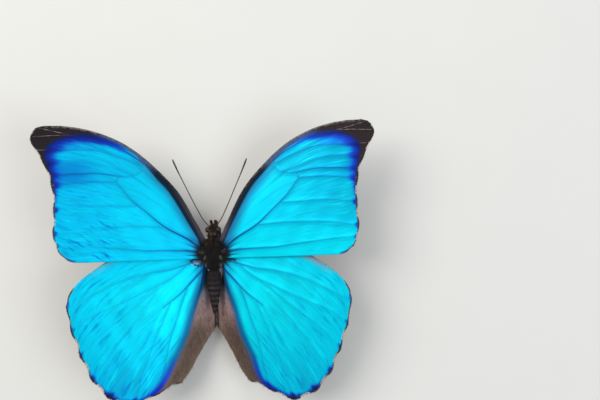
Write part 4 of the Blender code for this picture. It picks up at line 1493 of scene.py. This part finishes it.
def sweep(name, route, radii, around, material):
    route, radii = np.asarray(route, dtype=float), np.asarray(radii, dtype=float)
    tangent = unit(np.gradient(route, axis=0))
    side = np.cross(tangent[0], (0.3, 0.1, 1))
    frames = []
    for direction in tangent:  # carry the ring along without twisting it
        side = side - direction * (side @ direction)
        side /= np.linalg.norm(side)
        frames.append((side, np.cross(direction, side)))
    turn = 2 * math.pi * np.arange(around) / around
    points = []
    for centre, radius, (across, up) in zip(route, radii, frames):
        points.append(centre + radius * (np.cos(turn)[:, None] * across + np.sin(turn)[:, None] * up))
    count = len(route)
    points += [route[:1] - tangent[0] * radii[0] * 0.5, route[-1:] + tangent[-1] * radii[-1] * 0.5]
    points = np.vstack(points)
    travelled = travel(route)
    heights = np.concatenate([[0.02], 0.03 + 0.94 * travelled / travelled[-1], [0.98]])
    faces, corners = closedTube(count, around, heights)
    lie = np.vstack([np.repeat(tangent, around, axis=0), tangent[:1], tangent[-1:]])
    fields, maps = {"lie": lie, "bodyPlace": points}, {"OFBake": corners, "skinMap": corners}
    return meshObject(name, points, faces, [material], fields, maps)


def setHair(piece, length, lift):  # even hair all over a tube
    for name, value in (("hairLength", length), ("hairLift", lift), ("hairDensity", 1)):
        field = piece.data.attributes.new(name, "FLOAT", "POINT")
        field.data.foreach_set("value", np.full(len(piece.data.vertices), value, dtype=np.float32))


legLook = {
    # (out, forward, up) from the body to the last joint of the foot
    "foreleg": [(1, 3.6, 8.6), (1.5, 4.4, 7.2), (1.9, 6.6, 5.9), (1.7, 8, 6.1), (1.2, 9, 6.7)],
    "midleg": [
        (1.2, 0.6, 8.8), (2.2, 1.2, 7), (4.8, 3.2, 8.3), (7.4, 4.9, 9.2), (9.4, 6.1, 5.2),
        (11.2, 7.2, 1), (11.9, 7.5, 0.24), (14, 8.3, 0.22), (16, 8.9, 0.22)],
    "hindleg": [
        (1.2, -2.4, 8.8), (2.2, -3.2, 6.9), (5, -5.6, 7.6), (8, -8, 8.4), (10, -10.4, 4.6),
        (11.6, -12.6, 1), (12.1, -13.2, 0.24), (13.8, -14.8, 0.22), (15.4, -16.2, 0.22)],
    # half width along the leg: coxa, thigh, knee, shin, ankle, then the five joints of the foot
    "width": [
        (0, 0.62), (0.09, 0.6), (0.13, 0.42), (0.22, 0.48), (0.32, 0.44), (0.385, 0.27), (0.41, 0.3),
        (0.45, 0.27), (0.62, 0.24), (0.7, 0.26), (0.715, 0.17), (0.74, 0.2), (0.8, 0.18),
        (0.808, 0.14), (0.83, 0.175), (0.865, 0.17), (0.872, 0.13), (0.89, 0.165), (0.92, 0.16),
        (0.927, 0.12), (0.945, 0.16), (0.985, 0.15), (1, 0.1)],
    "foreWidth": [(0, 0.42), (0.25, 0.4), (0.5, 0.3), (0.55, 0.34), (0.8, 0.3), (1, 0.14)],
    "floor": 0.02, "around": 14,
    "hairLength": {"foreleg": 0.55, "midleg": 0.42, "hindleg": 0.42}, "hairLift": 0.42,
    "claw": {"length": 0.42, "apart": 0.05, "spread": 0.16, "arch": 0.10, "width": 0.065},
}


def legPath(name, side, count=150):
    knots = np.array(legLook[name], dtype=float) * (side, 1.0, 1.0)
    # straight between joints with short bends at them
    fine = []
    for a, b in zip(knots[:-1], knots[1:]):
        fine += [a + (b - a) * t for t in (0, 0.12, 0.5, 0.88)]
    return smoothCurve(np.array(fine + [knots[-1]]), count)


def makeLeg(name, word, side, material):
    route = legPath(name, side)
    share = np.linspace(0, 1, len(route))
    radii = fromTable(legLook["foreWidth" if name == "foreleg" else "width"], share)
    if name != "foreleg":  # the foot lies on the floor, not in it
        route[:, 2] = np.maximum(route[:, 2], radii + legLook["floor"])
    leg = sweep(name + "_" + word + "_limb", route, radii, legLook["around"], material)
    setHair(leg, legLook["hairLength"][name], legLook["hairLift"])
    return leg, route


def makeClaws(name, word, route, material):  # a pair of hooks at the foot's end
    tip, direction = route[-1], route[-1] - route[-4]
    direction = direction / np.linalg.norm(direction)
    across = np.cross(direction, (0, 0, 1))
    look, hooks, share = legLook["claw"], [], np.linspace(0, 1, 9)
    for turn in (-1, 1):
        path = []
        for t in share:
            rise = np.array((0.0, 0.0, look["arch"] * math.sin(math.pi * t) - look["arch"] * t))
            aside = across * turn * (look["apart"] + look["spread"] * t)
            path.append(tip + direction * look["length"] * t + aside + rise)
        hooks.append(sweep("hook", path, look["width"] * (1 - 0.85 * share ** 1.5), 8, material))
    return joinPieces(name + "_" + word + "_claws", hooks)


def keepAboveFloor(thing):
    places = np.empty(len(thing.data.vertices) * 3, dtype=np.float32)
    thing.data.vertices.foreach_get("co", places)
    places[2::3] = np.maximum(places[2::3], 0)
    thing.data.vertices.foreach_set("co", places)
    return thing


def joinPieces(name, things):  # one mesh of several, all at the origin
    for thing in bpy.context.selected_objects:
        thing.select_set(False)
    for thing in things:
        thing.select_set(True)
    bpy.context.view_layer.objects.active = things[0]
    bpy.ops.object.join()
    things[0].name = name
    things[0].data.name = name
    return things[0]


feelerLook = {
    "route": [
        (0.6, 9.4, 11.4), (1.7, 10.8, 12.3), (3.4, 13, 13), (5.7, 17.6, 13.9), (8.4, 23.5, 15),
        (11, 29.2, 15.9), (12.2, 32, 16.3), (13, 34, 16.5)],
    "width": [
        (0, 0.24), (0.03, 0.25), (0.05, 0.18), (0.7, 0.17), (0.8, 0.2), (0.88, 0.27), (0.95, 0.3),
        (0.985, 0.24), (1, 0.1)],
    "ringSpacing": 0.42, "ringHeight": 0.035,
}
palpLook = {
    "hairLength": 0.55, "hairLift": 0.35,
    "route": [
        (0.8, 8.9, 9.5), (0.95, 9.5, 8.5), (1, 10.5, 7.9), (0.98, 11.5, 8.6), (0.9, 11.9, 9.8),
        (0.78, 11.95, 11.2)],
    "width": [(0, 0.28), (0.25, 0.38), (0.5, 0.4), (0.75, 0.32), (0.9, 0.2), (1, 0.07)],
}
tongueLook = {
    "forward": 10.9, "up": 6.3, "outer": 1.55, "pitch": 0.8, "turns": 1.35, "width": 0.24,
    "start": 140, "ribs": 70, "ribHeight": 0.008, "taper": 0.35,
}


def ringTree():  # one ring after another along a path, as wide as the path says
    inputs = {"Ring": "Object", "Spacing": "Float", "Height": "Float", "Material": "Material"}
    tree, given, output = newTree("ringTree", inputs)
    spots = pathPoints(given)
    width = times(fieldOf("halfWidth"), mm)
    size = vectorOf(width, width, given["Height"])
    rings = copiesOn(spots["Points"], given["Ring"], spots["Rotation"], size)
    finishTree(rings, given["Material"], output)
    return tree


def ringMesh(name, around=12):  # a low closed band round the Z axis, of radius and half height 1
    profile = [(0.86, -1), (1.06, -0.5), (1.06, 0.5), (0.86, 1)]
    count, step = len(profile) * around, 2 * math.pi / around
    points = [(r * math.cos(step * k), r * math.sin(step * k), z)
              for r, z in profile for k in range(around)]
    faces = []
    for row in range(0, count, around):
        for k in range(around):
            a, b = row + k, row + (k + 1) % around
            faces.append((a, b, (b + around) % count, (a + around) % count))
    return addObject(name, plainMesh(name, points, [], faces))


def makeFeeler(word, side, material, ringMaterial, tree, ring):
    route = smoothCurve(np.array(feelerLook["route"]) * (side, 1.0, 1.0), 160)
    radii = fromTable(feelerLook["width"], np.linspace(0, 1, len(route)))
    shaft = sweep("antenna_" + word + "_shaft", route, radii, 14, material)
    path = polyline("feelerPath", [route], {"halfWidth": radii})
    rings = grow("antenna_" + word + "_rings", path, tree, {
        "Ring": ring, "Spacing": feelerLook["ringSpacing"] * mm,
        "Height": feelerLook["ringHeight"] * mm, "Material": ringMaterial})
    return shaft, rings


def makePalp(word, side, material):
    route = smoothCurve(np.array(palpLook["route"]) * (side, 1.0, 1.0), 60)
    radii = fromTable(palpLook["width"], np.linspace(0, 1, len(route)))
    palp = sweep("palp_" + word + "_stem", route, radii, 16, material)
    setHair(palp, palpLook["hairLength"], palpLook["hairLift"])
    return palp


def legMarkings(place, shade):
    return mixColour(shade, tint(58, 42, 32), tint(122, 98, 74))


def palpMarkings(place, shade):
    out = calc("ABSOLUTE", partsOf(place)[0])
    brown = mixColour(shade, tint(58, 42, 32), tint(116, 94, 72))
    return layOver(brown, tint(206, 196, 182), ease(out, 1, 1.3, 0, 0.9))


def makeTongue(material):
    look = tongueLook
    coil = [(0, 9.4, 9.1), (0, 9.9, 8.6)]  # it leaves the face, then winds inward
    for turns in np.linspace(0, look["turns"], 40):
        angle = math.radians(look["start"]) - 2 * math.pi * turns
        radius = look["outer"] - look["pitch"] * turns
        forward, up = radius * math.cos(angle), radius * math.sin(angle)
        coil.append((0, look["forward"] + forward, look["up"] + up))
    route = smoothCurve(coil, 560)
    share = np.linspace(0, 1, len(route))
    ribs = look["ribHeight"] * np.cos(2 * math.pi * share * look["ribs"])
    width = look["width"] * (1 - look["taper"] * share) + ribs
    return sweep("proboscis_coil", route, width, 14, material)


hornLook = {  # base colour, paler colour, grain, gloss
    "legHorn": (tint(48, 34, 26), tint(86, 64, 46), 6, 0.45),
    "feelerHorn": (tint(30, 22, 18), tint(60, 42, 30), 6, 0.4),
    "feelerRing": (tint(70, 52, 40), tint(98, 74, 54), 5, 0.45),
    "tongueHorn": (tint(78, 48, 28), tint(120, 80, 50), 5, 0.35),
    "palpSkin": (tint(66, 48, 36), tint(100, 76, 56), 5, 0.5),
}


def hornMaterial(name, base, paler, scale, gloss):
    material, shader = newMaterial(name, **{"Specular IOR Level": 0.4})
    place = bodyPlace()
    grain = noise(place, scale, 4)
    bumpOn(shader, 0.5, 0.00004, cells(place, scale * 2))
    colour = mixColour(remap(grain, 0.3, 0.7), base, paler)
    dress(shader, colour, remap(grain, 0.2, 0.8, gloss, gloss + 0.2))
    return material


def eyeMaterial():
    material, shader = newMaterial("compoundEye", **{
        "Specular IOR Level": 0.35, "Coat Weight": 0.12, "Coat Roughness": 0.12})
    place = bodyPlace()
    facets = cells(place, 15, 0.25)
    bumpOn(shader, 0.7, 0.00003, times(facets, -1))
    wave = plus(partsOf(place)[2], times(noise(place, 1.6, 2), 0.6))
    bands = calc("SINE", times(wave, 9))
    colour = mixColour(ease(bands, -0.2, 0.9, 0, 0.8), tint(22, 13, 11), tint(74, 40, 24))
    colour = mixColour(remap(facets, 0.3, 0.6, 0, 0.6), colour, tint(10, 7, 7))
    dress(shader, colour, remap(facets, 0, 0.6, 0.18, 0.4))
    return material


def makeEye(word, side, material):
    look, (out, forward, up) = eyeLook, eyeLook["place"]
    rows, around, wide = look["rows"], look["around"], look["wide"]
    latitude = np.linspace(0, math.pi, rows + 2)[1:-1]
    turn = 2 * math.pi * np.arange(around) / around
    ball = np.stack([np.broadcast_to(np.cos(latitude)[:, None] * wide, (rows, around)),
                     np.sin(latitude)[:, None] * np.cos(turn)[None, :],
                     np.sin(latitude)[:, None] * np.sin(turn)[None, :] * look["tall"]], axis=-1)
    ball = np.vstack([ball.reshape(-1, 3), [(wide, 0, 0), (-wide, 0, 0)]]) * look["radius"]
    points = ball * (side, 1, 1) + (side * out, forward, up)
    faces = [face[::-side] for face in closedTube(rows, around, np.zeros(rows + 2))[0]]
    return meshObject("eye_" + word + "_ball", points, faces, [material], {"bodyPlace": points})


makeStage(stageLook)

pieces = []  # (piece, slot, nodes it stands for)


def keep(piece, slotName, *nodes):
    pieces.append((piece, slotName, nodes))


wings = {}
veinGrower, fringeGrower = veinTree(), fringeTree()
scaleShape, fringeFinish = fringeScale("fringeScale"), fringeMaterial()
undersides = {kind: underMaterial(kind) for kind in wingShapes}
for word, side in sides:
    for kind in wingShapes:
        faces = [upperMaterial(kind, word, side), undersides[kind]]
        wings[(kind, side)] = parts = makeWing(kind, word, side, faces)
        keep(parts[0], "wing", kind + "_" + word)
        keep(makeVeins(kind, word, side, parts[1], veinGrower, veinMaterial(kind, word, side)), "wing")
        seed = coatLook["seed"]["fringe"] + len(wings)
        keep(makeFringe(kind, word, *parts[3:], fringeGrower, scaleShape, fringeFinish, seed), "wing")
    print("veins and fringes:", word, "wings")

coatGrower = coatTree()
tuft, wingTuft = (tuftMesh(name, *shape) for name, shape in coatLook["tufts"].items())
skin = makeSkin(skinMaterial())
keep(skin, "body", "head", "thorax", "abdomen")
for coat in growCoat(skin, coatGrower, tuft, coatMaterial("bodyHair", bodyMarkings)):
    keep(coat, "body")
wingHair = coatMaterial("wingHair", wingHairMarkings)
for seed, ((kind, side), parts) in enumerate(wings.items(), coatLook["seed"]["wing"]):
    word = "left" if side < 0 else "right"
    keep(growWingHair(kind, word, side, *parts[2:], coatGrower, wingTuft, wingHair, seed), "wing")

eyeFinish = eyeMaterial()
horn = {name: hornMaterial(name, *look) for name, look in hornLook.items()}
ringGrower, ring = ringTree(), ringMesh("feelerRing")
legHair, palpHair = coatMaterial("legHair", legMarkings), coatMaterial("palpHair", palpMarkings)
for word, side in sides:
    keep(makeEye(word, side, eyeFinish), "eye", "eye_" + word)
    for seed, name in enumerate(("foreleg", "midleg", "hindleg"), coatLook["seed"]["leg"]):
        leg, route = makeLeg(name, word, side, horn["legHorn"])
        keep(leg, "leg", name + "_" + word)
        hair = growTufts(name + "_" + word + "_hair", leg, coatGrower, tuft, legHair,
                         coatLook["legDensity"], "leg", seed)
        keep(keepAboveFloor(hair), "leg")
        if name != "foreleg":
            keep(makeClaws(name, word, route, horn["legHorn"]), "leg")
    shaft, rings = makeFeeler(word, side, horn["feelerHorn"], horn["feelerRing"], ringGrower, ring)
    keep(shaft, "leg", "antenna_" + word)
    keep(rings, "leg")
    palp = makePalp(word, side, horn["palpSkin"])
    keep(palp, "body", "palp_" + word)
    keep(growTufts("palp_" + word + "_coat", palp, coatGrower, tuft, palpHair, coatLook["palpDensity"],
                   "leg", coatLook["seed"]["palp"]), "body")
    print("eye, legs, feeler and palp:", word)
keep(makeTongue(horn["tongueHorn"]), "leg", "proboscis")
print("pieces:", len(pieces))
for helper in (tuft, wingTuft, ring, scaleShape):
    bpy.data.objects.remove(helper, do_unlink=True)

for piece, slotName, nodes in pieces:
    if nodes:
        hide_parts(*nodes)
    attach(piece, "root")
